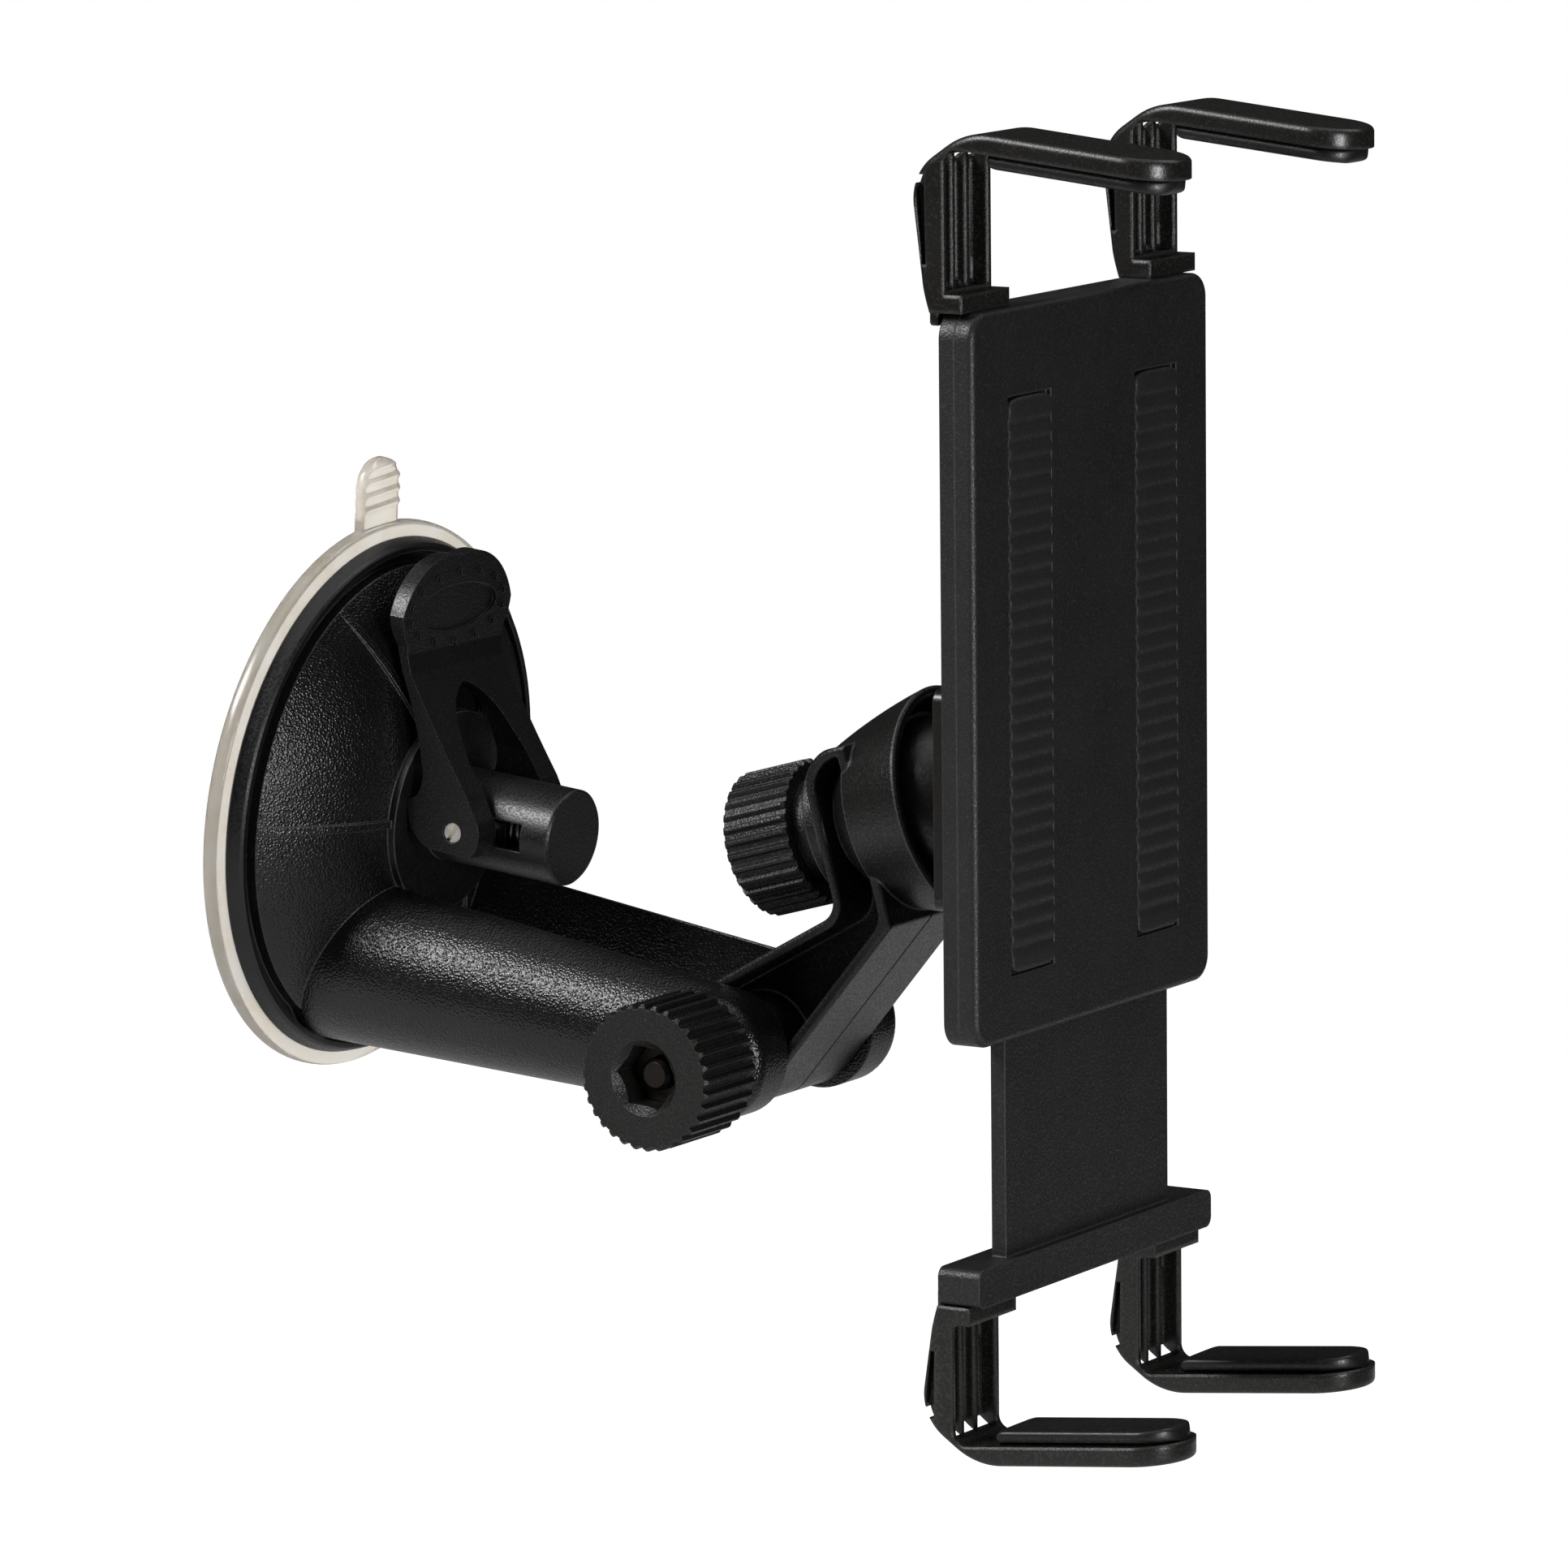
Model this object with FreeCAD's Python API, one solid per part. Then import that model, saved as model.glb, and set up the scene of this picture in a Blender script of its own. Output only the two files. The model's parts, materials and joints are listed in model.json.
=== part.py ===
import FreeCAD, Part
import math
import os

# Car phone mount: a windscreen suction cup with a fork, a bent second arm, a ball head and a
# spring-leg phone holder.  Millimetres.  The origin is the centre of the suction face.
# +X points away from the glass, +Z is up and +Y runs along the elbow bolt.

V = FreeCAD.Vector
ORIGIN = V(0, 0, 0)
X_AXIS = V(1, 0, 0)
Y_AXIS = V(0, 1, 0)
Z_AXIS = V(0, 0, 1)

# ---------------------------------------------------------------- driving dimensions
# Clearances
RUNNING_FIT = 0.06          # radial, shafts in their bores
SLIDE_GAP = 0.15            # between sliding flats
BODY_GAP = 0.3              # between moving bodies that only pass each other
SEAT_GAP = 0.05             # pieces of one body that seat in each other

# Suction pad
PAD_RADIUS = 34.5
PAD_EDGE = 2.0              # thickness of the sealing rim
SEAL_WIDTH = 11.0           # flat ring that touches the glass
PAD_SKIN = 1.7              # thickness of the flexing middle
PAD_LIFT = 3.0              # how far the locked pad is drawn off the glass
PAD_BOSS_RADIUS = 9.0
PAD_BOSS_TOP = 7.4
TAB_WIDTH = 8.0
TAB_THICK = 1.9
TAB_REACH = 8.6             # past the pad's edge
TAB_RIBS = 3
TAB_LEAN = 5.0              # degrees off the top, to the near side

# Cup housing
HOUSING_RADIUS = 32.6
RIM_HEIGHT = 2.2            # of the band above the pad
RIM_TAPER = 0.6             # how much the band narrows towards its top
RIM_LIP = 1.0               # width of the band's top
GROOVE_DEPTH = 1.1          # the ring groove inside the band
GROOVE_WIDTH = 1.4
DOME_SHOULDER = 4.6         # height of the dome's foot above the glass
DOME_BULGE = 0.95           # of the dome above a straight cone, half way in
LEDGE_NUBS = 5              # small gate marks left on the ledge by the moulding
LEDGE_NUB_RADIUS = 0.55
LEDGE_NUB_HEIGHT = 0.35
LEDGE_NUB_START = 114.0     # degrees
WALL = 2.0
HUB_RADIUS = 12.6
HUB_FACE = 13.4             # the cam lever bears here
HUB_STEP = 1.0
BOSS_RADIUS = 6.0
BOSS_EDGE = 0.3
BOSS_END = 31.4
BOSS_CAP = 1.5
BOSS_SLOT_END = 4.0         # the pin's slot stops this far below the boss's end
BOSS_SLOT_GAP = 0.5         # above and below the pin
RIB_COUNT = 6
RIB_WIDTH = 1.0
RIB_HEIGHT = 0.5

# Fork that carries the elbow
ELBOW_X = 62.5
ELBOW_Z = -18.95
FORK_INNER = 9.9            # half the gap between the fork's arms
FORK_OUTER = 18.6           # half width over the fork where it leaves the cup
KNUCKLE_OUTER = 17.0        # half width at the elbow
FORK_ROOT_Z = -18.5
FORK_ROOT_HALF = 10.75      # half height where the arm leaves the cup
KNUCKLE_RADIUS = 7.8
KNUCKLE_ROUND = 2.2

# Plunger, pin and cam lever
STUD_RADIUS = 3.5
STUD_FLANGE_RADIUS = 7.5
STUD_FLANGE_THICK = 1.2
STUD_FLANGE_X = 4.6
PIN_RADIUS = 1.25
PIN_SLOT_WIDTH = 0.5
PIN_SLOT_DEPTH = 0.5
PIN_SLOT_TURN = -60.0       # degrees
PIN_END_INSET = 0.2
CAM_LOCKED = 6.7            # pin to hub face with the lever shut
CAM_RELEASED = 2.8          # the same with the lever open
CAM_GAP = 0.1
CAM_STEPS = 6
LEVER_THROW = 86.0          # degrees
LEVER_HALF_WIDTH = 10.2
LEVER_LEG_GAP = 0.35        # each side of the boss
LEVER_NOSE = 3.9            # radius of the leg's front round
LEVER_HEAD_HALF = 12.0
LEVER_HEAD_Z = 25.6         # centre of the finger plate above the pin
LEVER_HEAD_HEIGHT = 6.4     # half height of the finger plate
LEVER_HEAD_THICK = 2.0
LEVER_HEAD_BACK = 10.3      # plate's back behind the pin at its centre
LEVER_LEG_TOP = 18.5        # where the legs' side skins run out above the pin
LEVER_NOTCH = 1.5           # step from the plate's width in to the legs
ARCH_SPRING = 8.0           # where the arch starts to close in above the pin
ARCH_SHOULDER = 12.0
ARCH_SHOULDER_HALF = 5.2    # half width of the arch there
ARCH_TOP = 16.6
GRIP_DOTS = 14
GRIP_RING_HALF = 10.4       # half width and half height of the ring of dots
GRIP_RING_RISE = 4.4
DOT_RADIUS = 0.45
DOT_HEIGHT = 0.4
RECESS_HALF = 8.6           # half width and half height of the finger recess
RECESS_RISE = 2.9
RECESS_DEPTH = 0.5
SPRING_WIRE = 0.32
SPRING_TURNS = 5

# Threaded hardware (M4)
BOLT_RADIUS = 2.0
HEX_FLATS = 7.0
NUT_THICK = 3.2
BOLT_HEAD = 2.8
BOLT_HEAD_SUNK = 0.4        # below the far knuckle's face
BOLT_END_BELOW = 2.4        # the bolt's tip below the elbow knob's face
WASHER_RADIUS = 5.6
WASHER_THICK = 0.8

# Clamp knobs
KNOB_RADIUS = 8.9
KNURL_DEPTH = 0.6
KNURL_COUNT = 32
KNOB_EDGE = 0.4
KNOB_COUNTERSINK = 0.5      # round bevel at the mouth of the hexagon recess
KNOB_COLLAR_RADIUS = 6.6
NUT_INSET = 4.2             # nut's outer face below the knob's face
ELBOW_KNOB_LENGTH = 12.0
ELBOW_COLLAR = 0.6
HEAD_KNOB_LENGTH = 11.0
HEAD_COLLAR = 2.0

# Second arm, in the head's frame: origin at the ball centre, x forward along the head axis
BALL_X = 82.1
BALL_Z = 14.0
HEAD_PITCH = 22.0
ARM_HALF = 9.6
EYE_RADIUS = 6.2            # boss round the elbow bolt inside the pockets
ARM_BACK = -11.85           # rear face of the upright
SEAT_BACK = -13.5           # rear face of the round seat for the head knob's washer
SEAT_BOSS_RADIUS = 9.4
ARM_BEND_Z = -9.9           # where the upright meets the leg
ARM_TOP_Z = 9.5
ARM_RIM_REAR = 1.2          # width of the raised rims round the side pockets
ARM_RIM_FRONT = 1.5
ARM_RIM_ROUND = 0.45
ARM_WEB_HALF = 2.0          # half thickness between the side pockets
LEG_FRONT_TOP = (-4.6, -12.9)
LEG_FRONT_ANGLE = 34.9      # degrees, slope of the leg's front face to the head axis
LEG_REAR_ANGLE = 13.7
LEG_END = 7.2               # how far the leg runs past the elbow
LEG_END_ROUND = 6.2
BEND_ROUND = 2.6
POCKET_FRONT_ROUND = 3.0
ARM_TOP_ROUND = 5.2
BELL_WALL = 1.2             # least wall left between the pockets and the ball's seat
BOLT_BOSS_RADIUS = 4.6      # material kept round the head bolt

# Ball head
BALL_RADIUS = 10.6
BALL_WALL = 2.2
CUP_LINER = 0.5             # friction cup outside the ball
DISC_LINER = 0.5            # friction disc inside the ball
SPHERE_FIT = 0.08           # between the nested spheres
BALL_HOLE = 36.0            # half angle of the ball's rear opening, degrees
CUP_ANGLE = 76.0            # how far the friction cup wraps, from the rear
DISC_ANGLE = 61.0
DOME_ANGLE = 58.0
DOME_THICK = 2.0
BELL_RIM_X = 3.0
BELL_RIM_RADIUS = 13.9
BELL_RIM_WALL = 1.0
BELL_BACK_RADIUS = 9.7      # where the bell leaves the upright
BELL_MID_X = -4.1
BELL_MID_RADIUS = 12.1
NECK_RADIUS = 9.1
NECK_BORE = 7.2
NECK_FLANGE_RADIUS = 10.4
NECK_FLANGE = 1.35

# Holder, in its own frame: origin at the ball centre, x out of the holder's face, z up it
HOLDER_PITCH = 6.5
PLATE_BACK = 8.2
PLATE_THICK = 2.4
PLATE_HALF = 15.0
PLATE_LOW = -10.2
PLATE_HIGH = 16.2
PLATE_SCREW_RADIUS = 0.9
PLATE_SCREWS = 4
TAB_PITCH = 15.0            # between the two T tabs
TAB_HEIGHT = 5.0
T_STEM_HALF = 1.8
T_STEM = 2.2
T_HEAD_HALF = 4.6
T_HEAD = 1.8
T_SLOT_GAP = 0.2
HOLDER_BACK = 17.1
HOLDER_SPLIT = 19.1
HOLDER_FRONT = 21.6
HOLDER_HALF = 28.0
HOLDER_LOW = -23.7
HOLDER_HIGH = 62.3
HOLDER_ROUND = 3.0
HOLDER_EDGE = 0.8
SHELL_SEAM = 0.02
JAW_ROUND = 1.2
SHELL_WALL = 1.15
SIDE_WALL = 4.0
END_BLOCK = 4.2             # solid head of the shells that takes the upper claws
END_BLOCK_STEP = 1.1        # how much it stands back
SPRING_LANE = 4.5           # beside the tongue, for each jaw spring
TONGUE_TOP = 33.0
TONGUE_LUG_Z = 10.0
TONGUE_LUG_HEIGHT = 4.0
JAW_TOP = -49.8
JAW_HEIGHT = 4.6
JAW_SPRING_RADIUS = 0.95
JAW_SPRING_BORE = 0.5
SPRING_POST_Z = 53.0
SPRING_POST_RADIUS = 0.9
COVER_SCREW_RADIUS = 1.0
COVER_SCREW_HEAD = 1.9
COVER_SCREW_HEAD_THICK = 0.8
COVER_SCREW_SUNK = 0.1      # head below the back shell's face
COVER_SCREW_REACH = 1.3     # into the front shell
COVER_SCREW_Z = (-14.0, 52.0)
REST_PAD_HALF = 5.0
REST_PAD_W = 15.0
REST_PAD_LOW = -16.0
REST_PAD_HIGH = 52.0
REST_PAD_THICK = 1.1
REST_PAD_SUNK = 0.7
REST_PAD_EDGE = 0.35

# Claws
CLAW_W = 22.2               # each side of the middle
CLAW_WIDTH = 11.0
CLAW_BACK = 13.0            # rearmost skin, near the top
CLAW_FOOT_BACK = 15.7       # the back leans in to here at the foot
CLAW_BACK_BEND = 3.8        # height where the lean eases
CLAW_LEAN = 1.5             # how far forward the back is there
CLAW_BACK_ROUND = 6.0
CLAW_SHOULDER_ROUND = 9.0
CLAW_INNER_ROUND = 1.6
CLAW_POST_FRONT = 17.6
CLAW_RISE_UPPER = 21.2      # outer skin above the block it plugs into
CLAW_RISE_LOWER = 18.9
CLAW_REACH = 33.5           # from the back skin to the tip
CLAW_SHOULDER = 7.6         # how far the back corner's slope reaches forward
CLAW_SHOULDER_DROP = 5.2
CLAW_FOOT_INSET = 1.6       # foot's end behind the holder's face
CLAW_ARM_THICK = 2.4
CLAW_TOE_IN = 6.0           # degrees, arms close towards their tips
CLAW_FOOT = 2.2
CLAW_EDGE = 0.7
CLAW_HOOK_HALF = 3.9        # latch that hooks behind the end block
CLAW_HOOK_THICK = 1.1
CLAW_HOOK_DROP = 1.6
CLAW_HOOK_RISE = 3.2
TENON_HALF = 3.6
TENON_DEPTH = 2.6
TENON_THICK = 2.2
CLAW_PAD_THICK = 1.8
CLAW_PAD_HALF = 4.5
CLAW_PAD_START = 22.4
CLAW_PAD_INSET = 0.6        # pad tip short of the claw tip
CLAW_RECESS_DEPTH = 2.2
CLAW_RECESS_HALF = 4.7
CLAW_RIB = 0.8
CLAW_RIB_SUNK = 0.9         # ribs below the post's front
CLAW_SLOT_WIDTH = 1.5
CLAW_SLOT_SKIN = 0.6        # skin behind the slot
CLAW_SLOT_DEPTH = 1.6
CLAW_SLOT_FOOT = 5.6        # slot's lower end above the block
CLAW_SLOT_SLANT = 0.9       # slot's lower end lies this much further forward

# ---------------------------------------------------------------- derived places
PIN_X = HUB_FACE + CAM_GAP + CAM_LOCKED
PIN_TRAVEL = CAM_LOCKED - CAM_RELEASED
CAM_LIFT_PER_RADIAN = PIN_TRAVEL / math.radians(LEVER_THROW)
LEVER_LEG_INNER = BOSS_RADIUS + LEVER_LEG_GAP
BAND_INNER = HOUSING_RADIUS - RIM_TAPER - RIM_LIP
DOME_RADIUS = BAND_INNER - GROOVE_WIDTH
BORE_RADIUS = STUD_RADIUS + RUNNING_FIT
SEAT_RADIUS = BALL_RADIUS + CUP_LINER + 2 * SPHERE_FIT
BALL_INNER = BALL_RADIUS - BALL_WALL
DOME_OUTER = BALL_INNER - DISC_LINER - 2 * SPHERE_FIT
TAB_ROOT = PLATE_BACK + PLATE_THICK
CAVITY_HALF = HOLDER_HALF - SIDE_WALL
TONGUE_HALF = CAVITY_HALF - SPRING_LANE
CAVITY_BACK = HOLDER_BACK + SHELL_WALL
CAVITY_FRONT = HOLDER_FRONT - SHELL_WALL
JAW_LOW = JAW_TOP - JAW_HEIGHT
KNOB_GAP = WASHER_THICK + 0.2
ELBOW_KNOB_AT = KNUCKLE_OUTER + KNOB_GAP


# ---------------------------------------------------------------- helpers
def in_xz(x, z):
    """A flat point in the plane y = 0."""
    return V(x, 0, z)


def closed_wire(start, steps, to_3d=in_xz):
    """Closed wire of straight edges, with an arc where a step is a (middle, end) pair."""
    edges = []
    here = start
    for step in list(steps) + [start]:
        if isinstance(step[0], tuple):
            middle, end = step
            edges.append(Part.Arc(to_3d(*here), to_3d(*middle), to_3d(*end)).toShape())
        else:
            end = step
            if (to_3d(*here) - to_3d(*end)).Length > 1e-6:
                edges.append(Part.makeLine(to_3d(*here), to_3d(*end)))
        here = end
    return Part.Wire(edges)


def revolved(start, *steps):
    """Solid of revolution about the x axis from an (x, radius) outline."""
    return Part.Face(closed_wire(start, steps)).revolve(ORIGIN, X_AXIS, 360)


def slab(start, steps, y_from, y_to):
    """Solid with an (x, z) outline between two y planes."""
    face = Part.Face(closed_wire(start, steps))
    face.translate(V(0, y_from, 0))
    return face.extrude(V(0, y_to - y_from, 0))


def inset_corners(corners, distances):
    """Move each edge of an anticlockwise outline inwards; edge i starts at corner i."""
    count = len(corners)
    lines = []
    for i, (x, z, _) in enumerate(corners):
        next_x, next_z, _ = corners[(i + 1) % count]
        length = math.hypot(next_x - x, next_z - z)
        run = ((next_x - x) / length, (next_z - z) / length)
        lines.append((x - run[1] * distances[i], z + run[0] * distances[i], run))
    moved = []
    for i, (_, _, rounding) in enumerate(corners):
        x1, z1, run1 = lines[i - 1]
        x2, z2, run2 = lines[i]
        turn = run1[0] * run2[1] - run1[1] * run2[0]
        t = ((x2 - x1) * run2[1] - (z2 - z1) * run2[0]) / turn
        inner_round = rounding and max(rounding - math.copysign(distances[i], turn), 0.3)
        moved.append((x1 + t * run1[0], z1 + t * run1[1], inner_round))
    return moved


def rounded_slab(corners, y_from, y_to):
    """Slab whose (x, z, radius) corners are rounded by tangent arcs."""
    count = len(corners)
    steps = []
    for i, (x, z, radius) in enumerate(corners):
        if not radius:
            steps.append((x, z))
            continue
        before = corners[i - 1]
        after = corners[(i + 1) % count]
        a = math.atan2(before[1] - z, before[0] - x)
        b = math.atan2(after[1] - z, after[0] - x)
        half = abs(math.remainder(b - a, 2 * math.pi)) / 2
        middle = a + math.remainder(b - a, 2 * math.pi) / 2
        tangent = radius / math.tan(half)
        centre = radius / math.sin(half)
        steps.append((x + tangent * math.cos(a), z + tangent * math.sin(a)))
        nearest = centre - radius
        steps.append((
            (x + nearest * math.cos(middle), z + nearest * math.sin(middle)),
            (x + tangent * math.cos(b), z + tangent * math.sin(b)),
        ))
    start = steps.pop(0)
    return slab(start, steps, y_from, y_to)


def box(x0, x1, y0, y1, z0, z1):
    """Box between two corners."""
    return Part.makeBox(x1 - x0, y1 - y0, z1 - z0, V(x0, y0, z0))


def polar(radius, degrees):
    """Flat point at an angle measured from +x."""
    return radius * math.cos(math.radians(degrees)), radius * math.sin(math.radians(degrees))


def hexagon(flats, x_from, x_to):
    """Hexagonal prism about the x axis."""
    corner = flats / math.sqrt(3)
    points = [V(x_from, *polar(corner, 60 * i)) for i in range(7)]
    return Part.Face(Part.makePolygon(points)).extrude(V(x_to - x_from, 0, 0))


def rod(radius, x_from, x_to):
    """Cylinder about the x axis."""
    return Part.makeCylinder(radius, x_to - x_from, V(x_from, 0, 0), X_AXIS)


def pitched(shape, degrees):
    """Turn a shape built round the ball centre up by a pitch, and set it at the ball."""
    turned = shape.copy()
    turned.rotate(ORIGIN, Y_AXIS, -degrees)
    turned.translate(V(BALL_X, 0, BALL_Z))
    return turned


def on_elbow(shape):
    """Move a shape built along +x to the elbow, pointing to the near side, -y."""
    turned = shape.copy()
    turned.rotate(ORIGIN, Z_AXIS, -90)
    turned.translate(V(ELBOW_X, 0, ELBOW_Z))
    return turned


def edges_at(shape, test):
    """Edges whose every vertex and middle point pass a test."""
    chosen = []
    for edge in shape.Edges:
        middle = edge.valueAt((edge.FirstParameter + edge.LastParameter) / 2)
        if test(middle) and all(test(v.Point) for v in edge.Vertexes):
            chosen.append(edge)
    return chosen


def mirrored_y(shape):
    return shape.mirror(ORIGIN, Y_AXIS)


# ---------------------------------------------------------------- suction cup
def suction_pad():
    """Clear soft disc with a flat sealing ring, a drawn-up middle and a pull tab."""
    seal_inner = PAD_RADIUS - SEAL_WIDTH
    edge_round = PAD_EDGE / 3
    disc = revolved(
        (0, PAD_RADIUS),
        (PAD_EDGE - edge_round, PAD_RADIUS),
        (PAD_EDGE, PAD_RADIUS - edge_round),
        (PAD_EDGE, seal_inner + 2),
        (PAD_LIFT + PAD_SKIN, PAD_BOSS_RADIUS + 2),
        (PAD_BOSS_TOP, PAD_BOSS_RADIUS),
        (PAD_BOSS_TOP, 0),
        (PAD_LIFT, 0),
        (PAD_LIFT, PAD_BOSS_RADIUS),
        (0, seal_inner),
    )
    tab_top = PAD_RADIUS + TAB_REACH
    half = TAB_WIDTH / 2
    outline = closed_wire(
        (-half, PAD_RADIUS - 3),
        [(-half, tab_top - half), ((0, tab_top), (half, tab_top - half)), (half, PAD_RADIUS - 3)],
        lambda y, z: V(0, y, z),
    )
    tab = Part.Face(outline).extrude(V(TAB_THICK, 0, 0))
    ribs = [
        box(TAB_THICK, TAB_THICK + 0.5, 1 - half, half - 1, z, z + 0.7)
        for z in [PAD_RADIUS + 2.4 + 1.7 * i for i in range(TAB_RIBS)]
    ]
    pull = tab.fuse(ribs)
    pull.rotate(ORIGIN, X_AXIS, TAB_LEAN)
    socket = rod(
        STUD_FLANGE_RADIUS + SEAT_GAP,
        STUD_FLANGE_X - SEAT_GAP,
        STUD_FLANGE_X + STUD_FLANGE_THICK + SEAT_GAP,
    )
    throat = rod(STUD_RADIUS + SEAT_GAP, STUD_FLANGE_X, PAD_BOSS_TOP + 1)
    return disc.fuse(pull).cut([socket, throat]).removeSplitter()


def fork_arm():
    """Near or far fork arm: flat inside, half-round outside, with a round knuckle."""
    def section(x, z, half, outer):
        return closed_wire(
            (FORK_INNER, z - half),
            [(FORK_INNER, z + half), ((outer, z), (FORK_INNER, z - half))],
            lambda y, height: V(x, y, height),
        )

    root_x = PAD_EDGE + 0.6
    arm = Part.makeLoft(
        [
            section(root_x, FORK_ROOT_Z, FORK_ROOT_HALF, FORK_OUTER),
            section(ELBOW_X, ELBOW_Z, KNUCKLE_RADIUS, KNUCKLE_OUTER),
        ],
        True,
        True,
    )
    knuckle = Part.makeCylinder(
        KNUCKLE_RADIUS, KNUCKLE_OUTER - FORK_INNER, V(ELBOW_X, FORK_INNER, ELBOW_Z), Y_AXIS
    )
    rim = edges_at(knuckle, lambda p: abs(p.y - KNUCKLE_OUTER) < 1e-3)
    return arm.fuse(knuckle.makeFillet(KNUCKLE_ROUND, rim))


def dome_profile(lift):
    """Arc of the dome from its foot up to the hub, moved out by a lift."""
    middle_r = (DOME_RADIUS + HUB_RADIUS) / 2
    middle_x = (DOME_SHOULDER + HUB_FACE - HUB_STEP) / 2 + DOME_BULGE
    return ((middle_x + lift, middle_r), (HUB_FACE - HUB_STEP + lift, HUB_RADIUS))


def cup_housing():
    """Black cup with its rim band, dome, hub, lever boss, stiffening ribs and fork."""
    band_top = PAD_EDGE + RIM_HEIGHT
    band_radius = HOUSING_RADIUS - RIM_TAPER
    ledge = band_top - GROOVE_DEPTH
    outer = revolved(
        (PAD_EDGE, 0),
        (PAD_EDGE, HOUSING_RADIUS - BOSS_EDGE),
        (PAD_EDGE + BOSS_EDGE, HOUSING_RADIUS),
        (band_top - BOSS_EDGE, band_radius),
        (band_top, band_radius - BOSS_EDGE),
        (band_top, BAND_INNER),
        (ledge, BAND_INNER - BOSS_EDGE),
        (ledge, DOME_RADIUS),
        (DOME_SHOULDER, DOME_RADIUS),
        dome_profile(0.0),
        (HUB_FACE, HUB_RADIUS),
        (HUB_FACE, BOSS_RADIUS),
        (BOSS_END - BOSS_EDGE, BOSS_RADIUS),
        (BOSS_END, BOSS_RADIUS - BOSS_EDGE),
        (BOSS_END, 0),
    )
    inner_radius = DOME_RADIUS - WALL
    hollow = revolved(
        (PAD_EDGE - WALL, 0),
        (PAD_EDGE - WALL, inner_radius),
        (DOME_SHOULDER - WALL, inner_radius),
        dome_profile(-WALL),
        (HUB_FACE - HUB_STEP - WALL, 0),
    )
    ribs = []
    for i in range(RIB_COUNT):
        rib = box(ledge, HUB_FACE, -RIB_WIDTH / 2, RIB_WIDTH / 2, HUB_RADIUS - 1, DOME_RADIUS)
        rib.rotate(ORIGIN, X_AXIS, 90 + i * 360 / RIB_COUNT)
        ribs.append(rib)
    dome_skin = revolved(
        (PAD_EDGE, 0),
        (PAD_EDGE, DOME_RADIUS),
        (DOME_SHOULDER, DOME_RADIUS),
        dome_profile(RIB_HEIGHT),
        (HUB_FACE - HUB_STEP + RIB_HEIGHT, 0),
    )
    raised = Part.makeCompound(ribs).common(dome_skin)
    nub_ring = (BAND_INNER + DOME_RADIUS) / 2
    nubs = [
        rod(LEDGE_NUB_RADIUS, ledge - WALL / 2, ledge + LEDGE_NUB_HEIGHT).translated(
            V(0, *polar(nub_ring, LEDGE_NUB_START + i * 360 / LEDGE_NUBS))
        )
        for i in range(LEDGE_NUBS)
    ]
    bore = rod(BORE_RADIUS, PAD_EDGE, BOSS_END - BOSS_CAP)
    slot_low = PIN_X - PIN_TRAVEL - PIN_RADIUS - BODY_GAP
    slot_high = BOSS_END - BOSS_SLOT_END
    slot_half = PIN_RADIUS + BOSS_SLOT_GAP
    reach = BOSS_RADIUS + 1
    slot = box(slot_low, slot_high, -reach, reach, -slot_half, slot_half)
    arm = fork_arm()
    body = outer.fuse([arm, mirrored_y(arm)] + raised.Solids + nubs)
    across = KNUCKLE_OUTER + 1
    bolt_hole = on_elbow(rod(BOLT_RADIUS + RUNNING_FIT, -across, across))
    head_pocket = on_elbow(
        hexagon(HEX_FLATS + 2 * SEAT_GAP, -FORK_OUTER, BOLT_HEAD_SUNK + BOLT_HEAD - KNUCKLE_OUTER)
    )
    spot_face = on_elbow(rod(WASHER_RADIUS + BODY_GAP, KNUCKLE_OUTER, FORK_OUTER))
    return body.cut([hollow, bore, slot, bolt_hole, head_pocket, spot_face]).removeSplitter()


def pad_stud():
    """Stud moulded into the pad's middle; the lever pin crosses its shank."""
    top = PIN_X + STUD_RADIUS
    shank = rod(STUD_RADIUS, STUD_FLANGE_X + STUD_FLANGE_THICK / 2, top)
    flange = rod(STUD_FLANGE_RADIUS, STUD_FLANGE_X, STUD_FLANGE_X + STUD_FLANGE_THICK)
    cross = Part.makeCylinder(
        PIN_RADIUS + 0.01, 2 * STUD_RADIUS + 2, V(PIN_X, -STUD_RADIUS - 1, 0), Y_AXIS
    )
    return shank.fuse(flange).cut(cross).removeSplitter()


def lever_pin():
    """Steel cross pin with a screwdriver slot in its near end."""
    reach = LEVER_HALF_WIDTH - PIN_END_INSET
    pin = Part.makeCylinder(PIN_RADIUS, 2 * reach, V(PIN_X, -reach, 0), Y_AXIS)
    half = PIN_SLOT_WIDTH / 2
    slot = box(-PIN_RADIUS - 1, PIN_RADIUS + 1, -reach - 1, -reach + PIN_SLOT_DEPTH, -half, half)
    slot.rotate(ORIGIN, Y_AXIS, PIN_SLOT_TURN)
    slot.translate(V(PIN_X, 0, 0))
    return pin.cut(slot)


def cam_point(degrees):
    """Point of the cam for a lever turned by an angle: its reach falls evenly with the turn."""
    turn = math.radians(degrees)
    reach = CAM_LOCKED - CAM_LIFT_PER_RADIAN * turn
    return (
        -reach * math.cos(turn) - CAM_LIFT_PER_RADIAN * math.sin(turn),
        -reach * math.sin(turn) + CAM_LIFT_PER_RADIAN * math.cos(turn),
    )


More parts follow.
